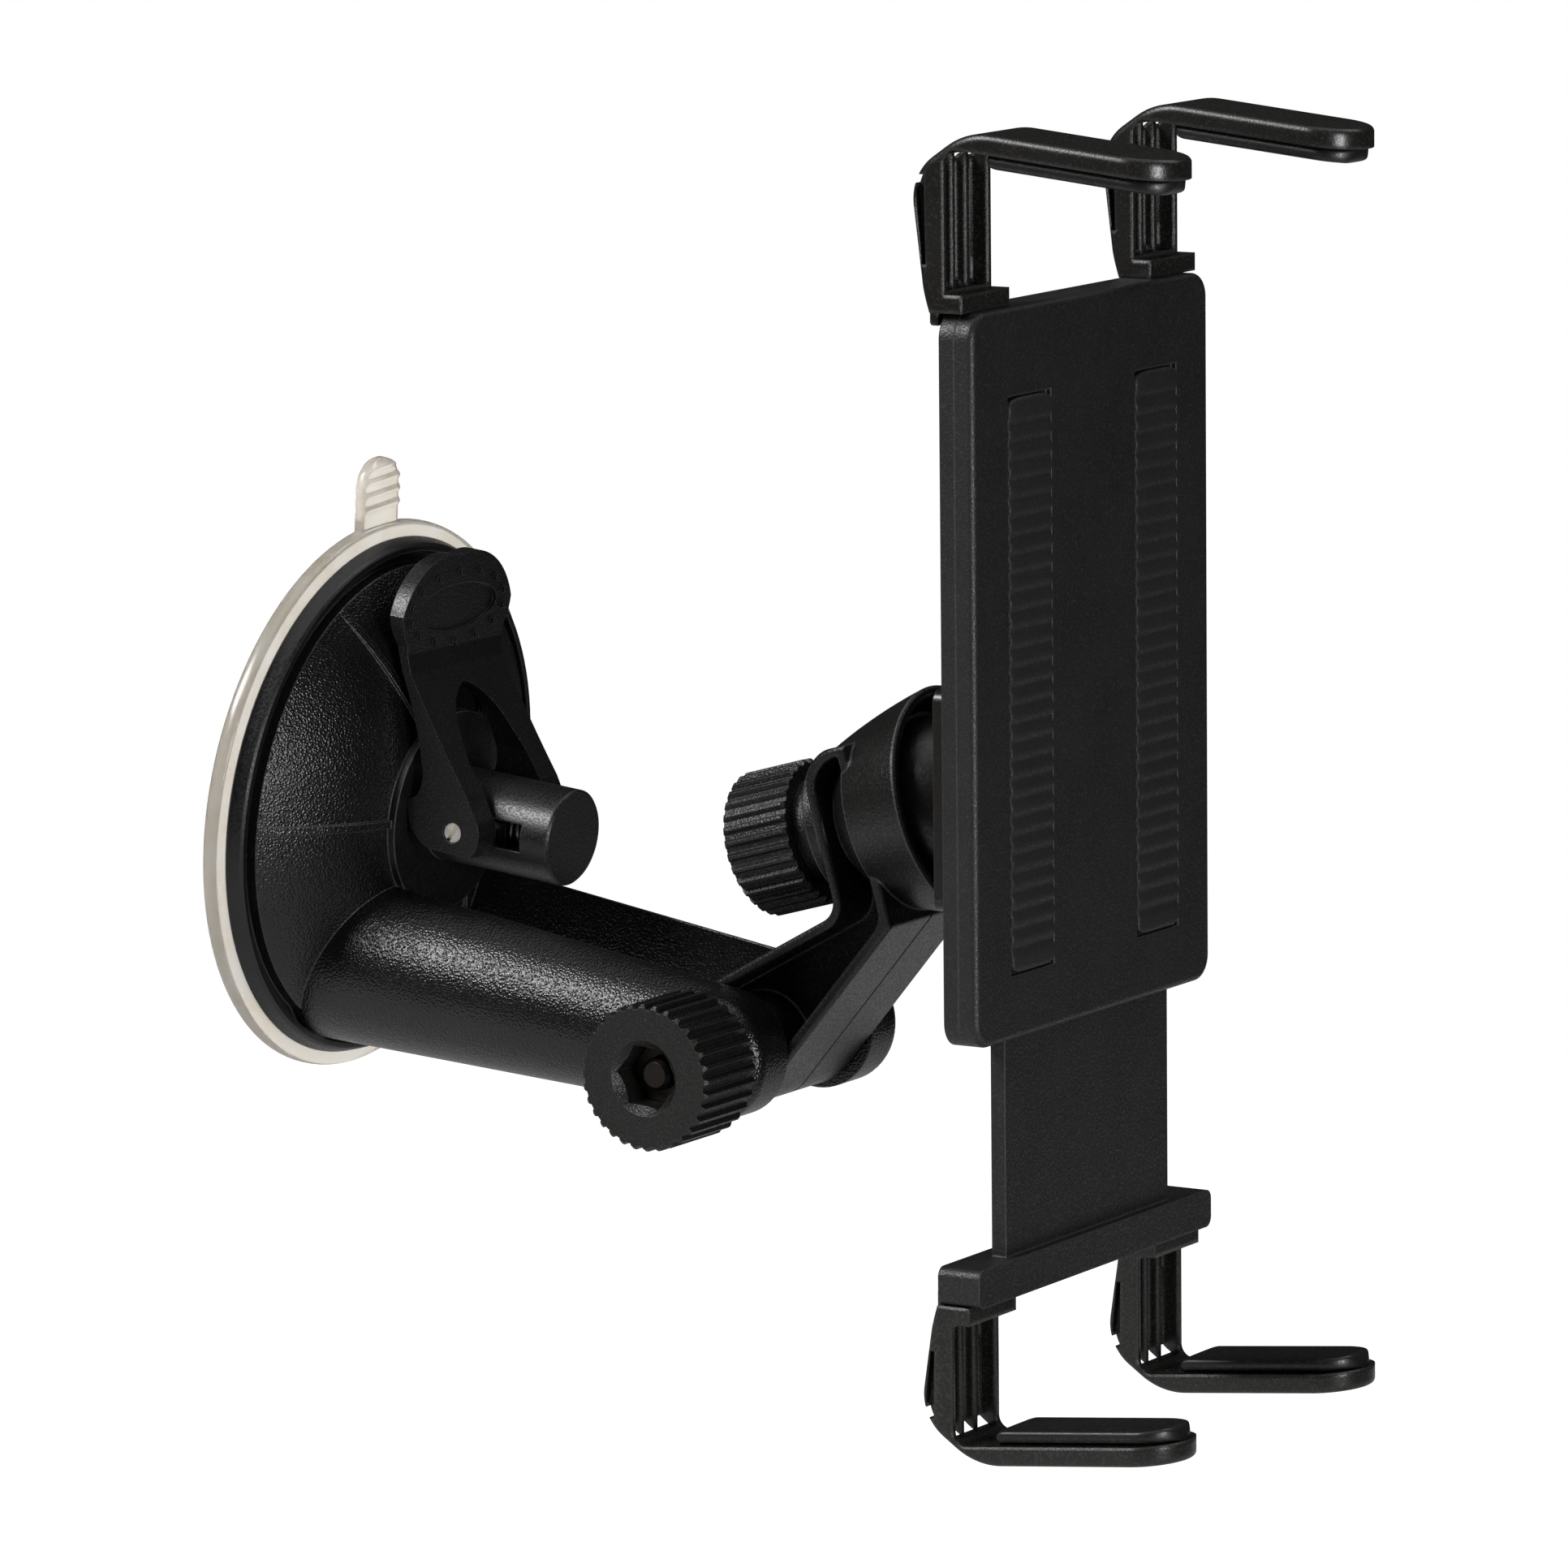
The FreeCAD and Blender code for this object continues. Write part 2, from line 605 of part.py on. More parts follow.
def lever_side():
    """Side outline of the lever swept over its full width: cam, nose, leg and plate."""
    cam = [cam_point(LEVER_THROW * i / CAM_STEPS) for i in range(CAM_STEPS + 1)]
    plate_back = -LEVER_HEAD_BACK
    plate_front = plate_back + LEVER_HEAD_THICK
    top = LEVER_HEAD_Z + LEVER_HEAD_HEIGHT + 1
    flat_from = LEVER_HEAD_Z - GRIP_RING_RISE - DOT_RADIUS
    steps = [(cam[i], cam[i + 1]) for i in range(1, CAM_STEPS, 2)]
    steps += [
        polar(LEVER_NOSE, -46),
        ((LEVER_NOSE, 0), polar(LEVER_NOSE, 38)),
        (1.7, 4.8),
        ((-3.5, ARCH_SHOULDER), (plate_front + 0.5, LEVER_LEG_TOP)),
        (plate_front, flat_from),
        (plate_front, top),
        (plate_back, top),
        ((plate_back + 0.2, LEVER_HEAD_Z - 1.6), (plate_back + 1.3, LEVER_LEG_TOP)),
        ((-6.3, ARCH_SHOULDER), (-5.2, ARCH_SPRING)),
        ((-4.9, (ARCH_SPRING + cam[0][1]) / 2), (-CAM_LOCKED + 1.2, cam[0][1] + 1.0)),
        (-CAM_LOCKED, cam[0][1] + 0.4),
    ]
    half = LEVER_HEAD_HALF + 1
    return slab(cam[0], steps, -half, half)


def lever_front(y_z):
    """Front outline of the lever: legs, a notch and the oval finger plate."""
    low = -LEVER_NOSE - 1
    legs = LEVER_HALF_WIDTH
    head = LEVER_HEAD_HALF
    crown = LEVER_HEAD_Z + LEVER_HEAD_HEIGHT
    notch_z = LEVER_HEAD_Z - 0.6 * LEVER_HEAD_HEIGHT
    notch = head - LEVER_NOTCH
    shoulder = (0.71 * head, LEVER_HEAD_Z + 0.74 * LEVER_HEAD_HEIGHT)
    return closed_wire(
        (-legs, low),
        [
            (-legs, LEVER_LEG_TOP),
            (-notch, notch_z),
            ((-head + 0.3, LEVER_HEAD_Z - 0.25 * LEVER_HEAD_HEIGHT), (-head, LEVER_HEAD_Z)),
            ((-shoulder[0], shoulder[1]), (0, crown)),
            ((shoulder[0], shoulder[1]), (head, LEVER_HEAD_Z)),
            ((head - 0.3, LEVER_HEAD_Z - 0.25 * LEVER_HEAD_HEIGHT), (notch, notch_z)),
            (legs, LEVER_LEG_TOP),
            (legs, low),
        ],
        y_z,
    )


def cam_lever():
    """Finger lever: cam feet each side of the boss, arch between them, oval finger plate."""
    def front_wire(y, z):
        return V(-BOSS_END / 2, y, z)

    through = V(BOSS_END, 0, 0)
    low = -LEVER_NOSE - 2
    half = LEVER_HEAD_HALF + 1
    lever = lever_side().common(Part.Face(lever_front(front_wire)).extrude(through))

    # room for the boss between the legs, narrowing into an arch
    inner = LEVER_LEG_INNER
    shoulder = ARCH_SHOULDER_HALF
    arch_curve = (0.52 * shoulder, (ARCH_SHOULDER + 2 * ARCH_TOP) / 3 + 0.2)
    arch = closed_wire(
        (-inner, low),
        [
            (-inner, ARCH_SPRING),
            (-shoulder, ARCH_SHOULDER),
            ((-arch_curve[0], arch_curve[1]), (0, ARCH_TOP)),
            (arch_curve, (shoulder, ARCH_SHOULDER)),
            (inner, ARCH_SPRING),
            (inner, low),
        ],
        front_wire,
    )
    opening = Part.Face(arch).extrude(through)
    pin_hole = Part.makeCylinder(PIN_RADIUS + RUNNING_FIT, 2 * half, V(0, -half, 0), Y_AXIS)
    lever = lever.cut([opening, pin_hole])

    # oval finger recess and its ring of grip dots on the front of the plate
    plate_front = LEVER_HEAD_THICK - LEVER_HEAD_BACK
    oval = Part.Ellipse(ORIGIN, RECESS_HALF, RECESS_RISE).toShape()
    recess = Part.Face(Part.Wire(oval)).extrude(V(0, 0, 4))
    recess.rotate(ORIGIN, Z_AXIS, 90)
    recess.rotate(ORIGIN, Y_AXIS, 90)
    recess.translate(V(plate_front - RECESS_DEPTH, 0, LEVER_HEAD_Z))
    lever = lever.cut(recess)
    dots = []
    for i in range(GRIP_DOTS):
        angle = math.radians(360 * (i + 0.5) / GRIP_DOTS)
        y = GRIP_RING_HALF * math.cos(angle)
        z = LEVER_HEAD_Z + GRIP_RING_RISE * math.sin(angle)
        dot = rod(DOT_RADIUS, plate_front - LEVER_HEAD_THICK / 2, plate_front + DOT_HEIGHT)
        dots.append(dot.translated(V(0, y, z)))
    lever = lever.fuse(dots).removeSplitter()
    lever.translate(V(PIN_X, 0, 0))
    return lever


def plunger_spring():
    """Compression spring between the stud and the boss's closed end."""
    low = PIN_X + STUD_RADIUS + SPRING_WIRE + SEAT_GAP
    high = BOSS_END - BOSS_CAP - SPRING_WIRE - SEAT_GAP
    mean = STUD_RADIUS - SPRING_WIRE - 0.35
    helix = Part.makeHelix((high - low) / SPRING_TURNS, high - low, mean)
    start = V(mean, 0, 0)
    ring = Part.Wire(Part.makeCircle(SPRING_WIRE, start, Y_AXIS))
    coil = Part.Wire(helix).makePipeShell([ring], True, True)
    coil.rotate(ORIGIN, Y_AXIS, 90)
    coil.translate(V(low, 0, 0))
    return coil


# ---------------------------------------------------------------- knobs and bolts
def knob(length, collar):
    """Knurled clamp knob along +x: collar first, the hexagon recess in its far face."""
    root = KNOB_RADIUS - KNURL_DEPTH
    pitch = 360 / KNURL_COUNT
    profile = ((root, 0.0), (root, 0.36), (KNOB_RADIUS, 0.58), (KNOB_RADIUS, 0.8))
    points = []
    for i in range(KNURL_COUNT):
        for radius, share in profile:
            points.append(V(collar, *polar(radius, pitch * (i + share))))
    ridged = Part.Face(Part.makePolygon(points + points[:1])).extrude(V(length - collar, 0, 0))
    envelope = revolved(
        (collar, 0),
        (collar, KNOB_RADIUS - KNOB_EDGE),
        (collar + KNOB_EDGE, KNOB_RADIUS + 0.01),
        (length - KNOB_EDGE, KNOB_RADIUS + 0.01),
        (length, KNOB_RADIUS - KNOB_EDGE),
        (length, 0),
    )
    body = ridged.common(envelope).fuse(rod(KNOB_COLLAR_RADIUS, 0, length / 2))
    flats = HEX_FLATS + 2 * SEAT_GAP
    recess = hexagon(flats, length - NUT_INSET - NUT_THICK, length + 1)
    mouth = flats / math.sqrt(3) + KNOB_COUNTERSINK
    bevel = revolved(
        (length - 2 * KNOB_COUNTERSINK, 0),
        (length - 2 * KNOB_COUNTERSINK, mouth - 2 * KNOB_COUNTERSINK),
        (length, mouth),
        (length + 1, mouth),
        (length + 1, 0),
    )
    bore = rod(BOLT_RADIUS + 0.3, -1, length + 1)
    return body.cut([recess, bevel, bore]).removeSplitter()


def nut(length):
    """Hexagon nut seated at the bottom of a knob's recess."""
    outer_face = length - NUT_INSET
    blank = hexagon(HEX_FLATS, outer_face - NUT_THICK, outer_face)
    return blank.cut(rod(BOLT_RADIUS + RUNNING_FIT, -1, length + 1))


def washer():
    """Flat washer under a knob, along +x from 0."""
    return rod(WASHER_RADIUS, 0, WASHER_THICK).cut(rod(BOLT_RADIUS + 0.2, -1, WASHER_THICK + 1))


def bolt(head_at, end_at):
    """Hexagon bolt along x: the head at the low end, the tip chamfered."""
    head = hexagon(HEX_FLATS, head_at, head_at + BOLT_HEAD)
    shank = revolved(
        (head_at + BOLT_HEAD / 2, 0),
        (head_at + BOLT_HEAD / 2, BOLT_RADIUS),
        (end_at - 0.5, BOLT_RADIUS),
        (end_at, BOLT_RADIUS - 0.5),
        (end_at, 0),
    )
    return head.fuse(shank).removeSplitter()


def rearward(shape, face_x):
    """Turn a shape built along +x to point back along the head axis from a face."""
    turned = shape.copy()
    turned.rotate(ORIGIN, Z_AXIS, 180)
    turned.translate(V(face_x, 0, 0))
    return pitched(turned, HEAD_PITCH)


# ---------------------------------------------------------------- second arm and bell
def elbow_in_head_frame():
    """The elbow axis seen from the ball, in the head's pitched frame."""
    dx = ELBOW_X - BALL_X
    dz = ELBOW_Z - BALL_Z
    pitch = math.radians(HEAD_PITCH)
    return (
        dx * math.cos(pitch) + dz * math.sin(pitch),
        dz * math.cos(pitch) - dx * math.sin(pitch),
    )


def meet(point, degrees, other, other_degrees):
    """Where two flat lines cross, each given by a point on it and its slope."""
    run_x, run_z = polar(1.0, degrees)
    other_x, other_z = polar(1.0, other_degrees)
    gap_x = other[0] - point[0]
    gap_z = other[1] - point[1]
    along = (gap_x * other_z - gap_z * other_x) / (run_x * other_z - run_z * other_x)
    return point[0] + along * run_x, point[1] + along * run_z


def arm_corners():
    """Corners of the bent arm's side outline, anticlockwise, each with its rounding."""
    ex, ez = elbow_in_head_frame()
    slope = (LEG_FRONT_ANGLE + LEG_REAR_ANGLE) / 2
    past_x, past_z = polar(LEG_END, slope)
    end = (ex - past_x, ez - past_z)
    return [
        (*meet(LEG_FRONT_TOP, LEG_FRONT_ANGLE, end, slope + 90), LEG_END_ROUND),
        (LEG_FRONT_TOP[0], LEG_FRONT_TOP[1], 0.6),
        (LEG_FRONT_TOP[0], 0.0, 0.0),
        (LEG_FRONT_TOP[0] - 0.4, ARM_TOP_Z, 0.0),
        (ARM_BACK, ARM_TOP_Z, ARM_TOP_ROUND),
        (ARM_BACK, ARM_BEND_Z, BEND_ROUND),
        (*meet((ARM_BACK, ARM_BEND_Z), LEG_REAR_ANGLE, end, slope + 90), LEG_END_ROUND),
    ]


def bell_and_seat():
    """The bell round the ball, the cone behind it and the seat for the head knob's washer."""
    edge = BOSS_EDGE
    return revolved(
        (SEAT_BACK, 0),
        (SEAT_BACK, SEAT_BOSS_RADIUS - edge),
        (SEAT_BACK + edge, SEAT_BOSS_RADIUS),
        (ARM_BACK + ARM_RIM_REAR, SEAT_BOSS_RADIUS),
        (ARM_BACK + ARM_RIM_REAR, BELL_BACK_RADIUS),
        ((BELL_MID_X, BELL_MID_RADIUS), (BELL_RIM_X - edge, BELL_RIM_RADIUS)),
        (BELL_RIM_X, BELL_RIM_RADIUS - edge),
        (BELL_RIM_X, 0),
    )


def side_pocket():
    """Deep pocket in the near side of the arm, between its raised rims."""
    rear = ARM_RIM_REAR
    front = ARM_RIM_FRONT
    inner = inset_corners(arm_corners(), [front, front, front, rear, rear, rear, rear])
    x, z, _ = inner[1]
    inner[1] = (x, z, POCKET_FRONT_ROUND)
    return rounded_slab(inner, ARM_WEB_HALF, BELL_RIM_RADIUS)


def arm_link():
    """Bent arm with pocketed sides, an elbow eye and the bell that holds the ball."""
    ex, ez = elbow_in_head_frame()
    pocket = side_pocket()
    frame = rounded_slab(arm_corners(), -ARM_HALF, ARM_HALF).cut([pocket, mirrored_y(pocket)])
    rims = edges_at(frame, lambda p: abs(abs(p.y) - ARM_HALF) < 1e-3)
    frame = frame.makeFillet(ARM_RIM_ROUND, rims)
    shallow = pocket.cut([
        Part.makeSphere(SEAT_RADIUS + BELL_WALL),
        rod(BOLT_BOSS_RADIUS, SEAT_BACK, 0),
    ])
    bell = bell_and_seat().cut([shallow, mirrored_y(shallow)])
    eye = Part.makeCylinder(EYE_RADIUS, 2 * ARM_HALF, V(ex, -ARM_HALF, ez), Y_AXIS)
    mouth = BELL_RIM_RADIUS - BELL_RIM_WALL
    socket = revolved(
        (-SEAT_RADIUS, 0),
        (polar(SEAT_RADIUS, 135), (0, SEAT_RADIUS)),
        (BELL_RIM_X, mouth),
        (BELL_RIM_X + 1, mouth),
        (BELL_RIM_X + 1, 0),
    )
    bolt_hole = rod(BOLT_RADIUS + RUNNING_FIT, SEAT_BACK - 1, 0)
    pivot_hole = Part.makeCylinder(
        BOLT_RADIUS + RUNNING_FIT, 2 * ARM_HALF + 2, V(ex, -ARM_HALF - 1, ez), Y_AXIS
    )
    link = frame.fuse([bell, eye]).cut([socket, bolt_hole, pivot_hole])
    return pitched(link.removeSplitter(), HEAD_PITCH)


def sphere_zone(inner, outer, from_angle, to_angle):
    """Part of a spherical shell between two angles from the rear, open at both."""
    middle = (from_angle + to_angle) / 2
    return revolved(
        polar(outer, 180 - from_angle),
        (polar(outer, 180 - middle), polar(outer, 180 - to_angle)),
        polar(inner, 180 - to_angle),
        (polar(inner, 180 - middle), polar(inner, 180 - from_angle)),
    )


def friction_cup():
    """Thin cup between the bell's seat and the ball."""
    zone = sphere_zone(
        BALL_RADIUS + SPHERE_FIT, BALL_RADIUS + SPHERE_FIT + CUP_LINER, BALL_HOLE, CUP_ANGLE
    )
    return pitched(zone, HOLDER_PITCH)


def friction_disc():
    """Thin liner between the ball's inside and the clamp dome."""
    outer = BALL_INNER - SPHERE_FIT
    return pitched(sphere_zone(outer - DISC_LINER, outer, BALL_HOLE, DISC_ANGLE), HOLDER_PITCH)


def clamp_dome():
    """Domed washer inside the ball that the head bolt draws back."""
    flat_x = DOME_THICK - DOME_OUTER
    rim_x, rim_r = polar(DOME_OUTER, 180 - DOME_ANGLE)
    dome = revolved(
        (-DOME_OUTER, 0),
        (polar(DOME_OUTER, 180 - DOME_ANGLE / 2), (rim_x, rim_r)),
        (rim_x + 0.8, rim_r - 0.5),
        (flat_x, 4.6),
        (flat_x, 0),
    )
    return pitched(dome.cut(rod(BOLT_RADIUS + SEAT_GAP, -DOME_OUTER - 1, 0)), HEAD_PITCH)


def head_bolt():
    """Bolt from inside the ball, back through the bell, to the head knob's nut."""
    head_face = DOME_THICK - DOME_OUTER + SEAT_GAP + BOLT_HEAD
    tip = SEAT_BACK - KNOB_GAP - HEAD_KNOB_LENGTH + BOLT_END_BELOW
    return rearward(bolt(0, head_face - tip), head_face)


def swivel_ball():
    """Hollow ball with a neck; its rear opening leaves the bolt room to tilt."""
    neck_x = math.sqrt(BALL_RADIUS ** 2 - NECK_RADIUS ** 2)
    bore_x = math.sqrt(BALL_INNER ** 2 - NECK_BORE ** 2)
    ball = revolved(
        polar(BALL_RADIUS, 180 - BALL_HOLE),
        ((0, BALL_RADIUS), (neck_x, NECK_RADIUS)),
        (PLATE_BACK - NECK_FLANGE - 0.5, NECK_RADIUS),
        (PLATE_BACK - NECK_FLANGE, NECK_FLANGE_RADIUS),
        (PLATE_BACK - SEAT_GAP, NECK_FLANGE_RADIUS),
        (PLATE_BACK - SEAT_GAP, NECK_BORE),
        (bore_x, NECK_BORE),
        (polar(BALL_INNER, 105), polar(BALL_INNER, 180 - BALL_HOLE)),
    )
    holes = screw_ring(PLATE_SCREW_RADIUS + 0.02, PLATE_BACK - 3.0, PLATE_BACK + 1)
    return pitched(ball.cut(holes), HOLDER_PITCH)


def screw_ring(radius, x_from, x_to):
    """Cylinders at the adapter screws' places."""
    ring = (NECK_BORE + NECK_FLANGE_RADIUS) / 2
    places = [polar(ring, 45 + 360 * i / PLATE_SCREWS) for i in range(PLATE_SCREWS)]
    return [rod(radius, x_from, x_to).translated(V(0, y, z)) for y, z in places]


# ---------------------------------------------------------------- adapter and holder
def tab_places():
    """Lower edge of each T tab."""
    middle = (PLATE_LOW + PLATE_HIGH) / 2 - 2
    return [middle - TAB_PITCH / 2 - TAB_HEIGHT / 2, middle + TAB_PITCH / 2 - TAB_HEIGHT / 2]


def adapter_plate():
    """Plate on the ball's neck with the two T tabs that hold the phone holder."""
    plate = box(PLATE_BACK, TAB_ROOT, -PLATE_HALF, PLATE_HALF, PLATE_LOW, PLATE_HIGH)
    corners = [e for e in plate.Edges if abs(e.BoundBox.XLength - PLATE_THICK) < 1e-6]
    plate = plate.makeFillet(1.5, corners)
    tabs = []
    for z in tab_places():
        neck_end = TAB_ROOT + T_STEM
        tabs.append(box(TAB_ROOT - 0.5, neck_end + 0.5, -T_STEM_HALF, T_STEM_HALF, z, z + TAB_HEIGHT))
        tabs.append(
            box(neck_end, neck_end + T_HEAD, -T_HEAD_HALF, T_HEAD_HALF, z, z + TAB_HEIGHT)
        )
    holes = screw_ring(PLATE_SCREW_RADIUS + 0.05, PLATE_BACK - 1, TAB_ROOT + 1)
    sinks = screw_ring(2 * PLATE_SCREW_RADIUS, TAB_ROOT - 1.0, TAB_ROOT + 1)
    return pitched(plate.fuse(tabs).cut(holes + sinks).removeSplitter(), HOLDER_PITCH)


def adapter_screws():
    """Four small screws from the plate's face into the ball's neck."""
    shanks = screw_ring(PLATE_SCREW_RADIUS, PLATE_BACK - 2.6, TAB_ROOT - 0.5)
    heads = screw_ring(2 * PLATE_SCREW_RADIUS - SEAT_GAP, TAB_ROOT - 1.0 + 0.01, TAB_ROOT - 0.1)
    screws = [s.fuse(h).removeSplitter() for s, h in zip(shanks, heads)]
    return pitched(Part.makeCompound(screws), HOLDER_PITCH)


def slot_block():
    """Block on the holder's back, slotted for the T tabs with a window above each."""
    back = TAB_ROOT + SEAT_GAP
    block = box(back, HOLDER_BACK + 0.5, -PLATE_HALF, PLATE_HALF, PLATE_LOW, PLATE_HIGH)
    cuts = []
    for z in tab_places():
        low = z - SEAT_GAP
        high = z + TAB_HEIGHT + SEAT_GAP
        window_high = high + TAB_HEIGHT + T_SLOT_GAP
        stem = T_STEM_HALF + T_SLOT_GAP
        head = T_HEAD_HALF + T_SLOT_GAP
        head_back = TAB_ROOT + T_STEM - SEAT_GAP
        head_front = TAB_ROOT + T_STEM + T_HEAD + SEAT_GAP
        cuts.append(box(back - 1, head_front, -stem, stem, low, high))
        cuts.append(box(head_back, head_front, -head, head, low, window_high))
        cuts.append(box(back - 1, head_front, -head, head, high, window_high))
    return block.cut(cuts)


def shell_blank(x_from, x_to):
    """One holder shell's outer form, round-cornered."""
    blank = box(x_from, x_to, -HOLDER_HALF, HOLDER_HALF, HOLDER_LOW, HOLDER_HIGH)
    corners = [e for e in blank.Edges if abs(e.BoundBox.XLength - (x_to - x_from)) < 1e-6]
    return blank.makeFillet(HOLDER_ROUND, corners)


def slide_cavity():
    """Space in the shells where the tongue and its two springs run."""
    top = HOLDER_HIGH - END_BLOCK
    wide = box(CAVITY_BACK, CAVITY_FRONT, -CAVITY_HALF, CAVITY_HALF, HOLDER_LOW + 3, top)
    mouth_half = TONGUE_HALF + SLIDE_GAP
    mouth = box(CAVITY_BACK, CAVITY_FRONT, -mouth_half, mouth_half, HOLDER_LOW - 1, top)
    return wide.fuse(mouth)


def claw_socket(z_face, sign):
    """Pocket for one claw's tenon in a block's end face."""
    x0 = HOLDER_BACK - SEAT_GAP
    x1 = HOLDER_BACK + TENON_THICK + SEAT_GAP
    half = TENON_HALF + SEAT_GAP
    z0, z1 = sorted((z_face + sign, z_face - sign * (TENON_DEPTH + 0.2)))
    return [box(x0, x1, w - half, w + half, z0, z1) for w in (-CLAW_W, CLAW_W)]


def cover_screw_places():
    side = CAVITY_HALF + SIDE_WALL / 2 - 0.1
    return [(w, z) for w in (-side, side) for z in COVER_SCREW_Z]


def cover_screw_tools(shank, head, extra):
    """Cylinders at the cover screws' places, head at the back."""
    tools = []
    for w, z in cover_screw_places():
        place = V(0, w, z)
        tip = HOLDER_SPLIT + COVER_SCREW_REACH + BODY_GAP
        seat = HOLDER_BACK + COVER_SCREW_SUNK + COVER_SCREW_HEAD_THICK
        tools.append(rod(shank, HOLDER_BACK - extra, tip).translated(place))
        tools.append(rod(head, HOLDER_BACK - extra, seat).translated(place))
    return tools


def holder_back():
    """Rear shell with the slotted block, the stepped end block and the slide's back wall."""
    shell = shell_blank(HOLDER_BACK, HOLDER_SPLIT)
    head = box(
        HOLDER_BACK - END_BLOCK_STEP, HOLDER_SPLIT, -HOLDER_HALF + HOLDER_ROUND,
        HOLDER_HALF - HOLDER_ROUND, HOLDER_HIGH - END_BLOCK, HOLDER_HIGH
    )
    cuts = [slide_cavity()] + claw_socket(HOLDER_HIGH, 1)
    cuts += cover_screw_tools(COVER_SCREW_RADIUS + 0.05, COVER_SCREW_HEAD + 0.1, 1.0)
    body = shell.fuse([head, slot_block()]).cut(cuts).fuse(spring_posts())
    return pitched(body.removeSplitter(), HOLDER_PITCH)


def rest_pad_box(grow, x_to):
    x_from = HOLDER_FRONT - REST_PAD_SUNK
    half = REST_PAD_HALF + grow
    return [
        box(x_from, x_to, w - half, w + half, REST_PAD_LOW - grow, REST_PAD_HIGH + grow)
        for w in (-REST_PAD_W, REST_PAD_W)
    ]


def holder_front():
    """Front shell that the phone's back rests on, pocketed for two soft strips."""
    shell = shell_blank(HOLDER_SPLIT + SHELL_SEAM, HOLDER_FRONT)
    front_edges = edges_at(shell, lambda p: abs(p.x - HOLDER_FRONT) < 1e-3)
    shell = shell.makeFillet(HOLDER_EDGE, front_edges)
    cuts = [slide_cavity()] + claw_socket(HOLDER_HIGH, 1) + rest_pad_box(SEAT_GAP, HOLDER_FRONT + 1)
    cuts += cover_screw_tools(COVER_SCREW_RADIUS + 0.02, COVER_SCREW_RADIUS, 0.5)
    return pitched(shell.cut(cuts).removeSplitter(), HOLDER_PITCH)


def cover_screws():
    """Four screws from the back shell into the front shell."""
    screws = []
    for w, z in cover_screw_places():
        face = HOLDER_BACK + COVER_SCREW_SUNK
        shank = rod(COVER_SCREW_RADIUS, face, HOLDER_SPLIT + COVER_SCREW_REACH)
        head = rod(COVER_SCREW_HEAD, face, face + COVER_SCREW_HEAD_THICK - SHELL_SEAM)
        cross = box(face - 1, face + 0.4, -1.2, 1.2, -0.2, 0.2)
        turned = cross.copy()
        turned.rotate(ORIGIN, X_AXIS, 90)
        screws.append(head.fuse(shank).cut([cross, turned]).translated(V(0, w, z)))
    return pitched(Part.makeCompound(screws), HOLDER_PITCH)


def rest_pads():
    """Two soft strips that the phone's back lies against."""
    pads = [
        strip.makeFillet(
            REST_PAD_EDGE, edges_at(strip, lambda p: abs(p.x - strip.BoundBox.XMax) < 1e-3)
        )
        for strip in rest_pad_box(0.0, HOLDER_FRONT - REST_PAD_SUNK + REST_PAD_THICK)
    ]
    return pitched(Part.makeCompound(pads), HOLDER_PITCH)


def spring_lines():
    """Where the two jaw springs run beside the tongue."""
    w = CAVITY_HALF - SPRING_LANE / 2 + 0.4
    return -w, w


def spring_posts():
    """Posts at the top of the back shell that the jaw springs hook on."""
    z = SPRING_POST_Z + BODY_GAP + SPRING_POST_RADIUS
    post = rod(SPRING_POST_RADIUS, CAVITY_BACK - SHELL_WALL / 2, CAVITY_FRONT - SLIDE_GAP)
    return [post.translated(V(0, w, z)) for w in spring_lines()]


def jaw_springs():
    """Two long extension springs beside the tongue, closed coils drawn as sleeves."""
    middle_x = (CAVITY_BACK + CAVITY_FRONT) / 2
    low = TONGUE_LUG_Z + TONGUE_LUG_HEIGHT + BODY_GAP
    sleeves = []
    for side in spring_lines():
        centre = V(middle_x, side, low)
        outer = Part.makeCylinder(JAW_SPRING_RADIUS, SPRING_POST_Z - low, centre, Z_AXIS)
        inner = Part.makeCylinder(JAW_SPRING_BORE, SPRING_POST_Z - low, centre, Z_AXIS)
        sleeves.append(outer.cut(inner))
    return pitched(Part.makeCompound(sleeves), HOLDER_PITCH)


def jaw_slide():
    """Sliding tongue with the lower jaw block."""
    x0 = CAVITY_BACK + SLIDE_GAP
    x1 = CAVITY_FRONT - SLIDE_GAP
    tongue = box(x0, x1, -TONGUE_HALF, TONGUE_HALF, JAW_TOP - 1, TONGUE_TOP)
    lug_half = CAVITY_HALF - SLIDE_GAP
    lugs = box(x0, x1, -lug_half, lug_half, TONGUE_LUG_Z, TONGUE_LUG_Z + TONGUE_LUG_HEIGHT)
    back = HOLDER_BACK - END_BLOCK_STEP
    block = box(back, HOLDER_FRONT, -HOLDER_HALF, HOLDER_HALF, JAW_LOW, JAW_TOP)
    corners = [e for e in block.Edges if abs(e.BoundBox.XLength - HOLDER_FRONT + back) < 1e-6]
    block = block.makeFillet(JAW_ROUND, corners)
    body = tongue.fuse([lugs, block]).cut(claw_socket(JAW_LOW, -1))
    return pitched(body.removeSplitter(), HOLDER_PITCH)


def claw_arm_line(rise):
    """Where the arm's top surface starts and ends, with its toe-in."""
    start_x = CLAW_BACK + CLAW_SHOULDER
    tip_x = CLAW_BACK + CLAW_REACH
    slope = math.tan(math.radians(CLAW_TOE_IN))
    return start_x, tip_x, rise - (tip_x - start_x) * slope, slope


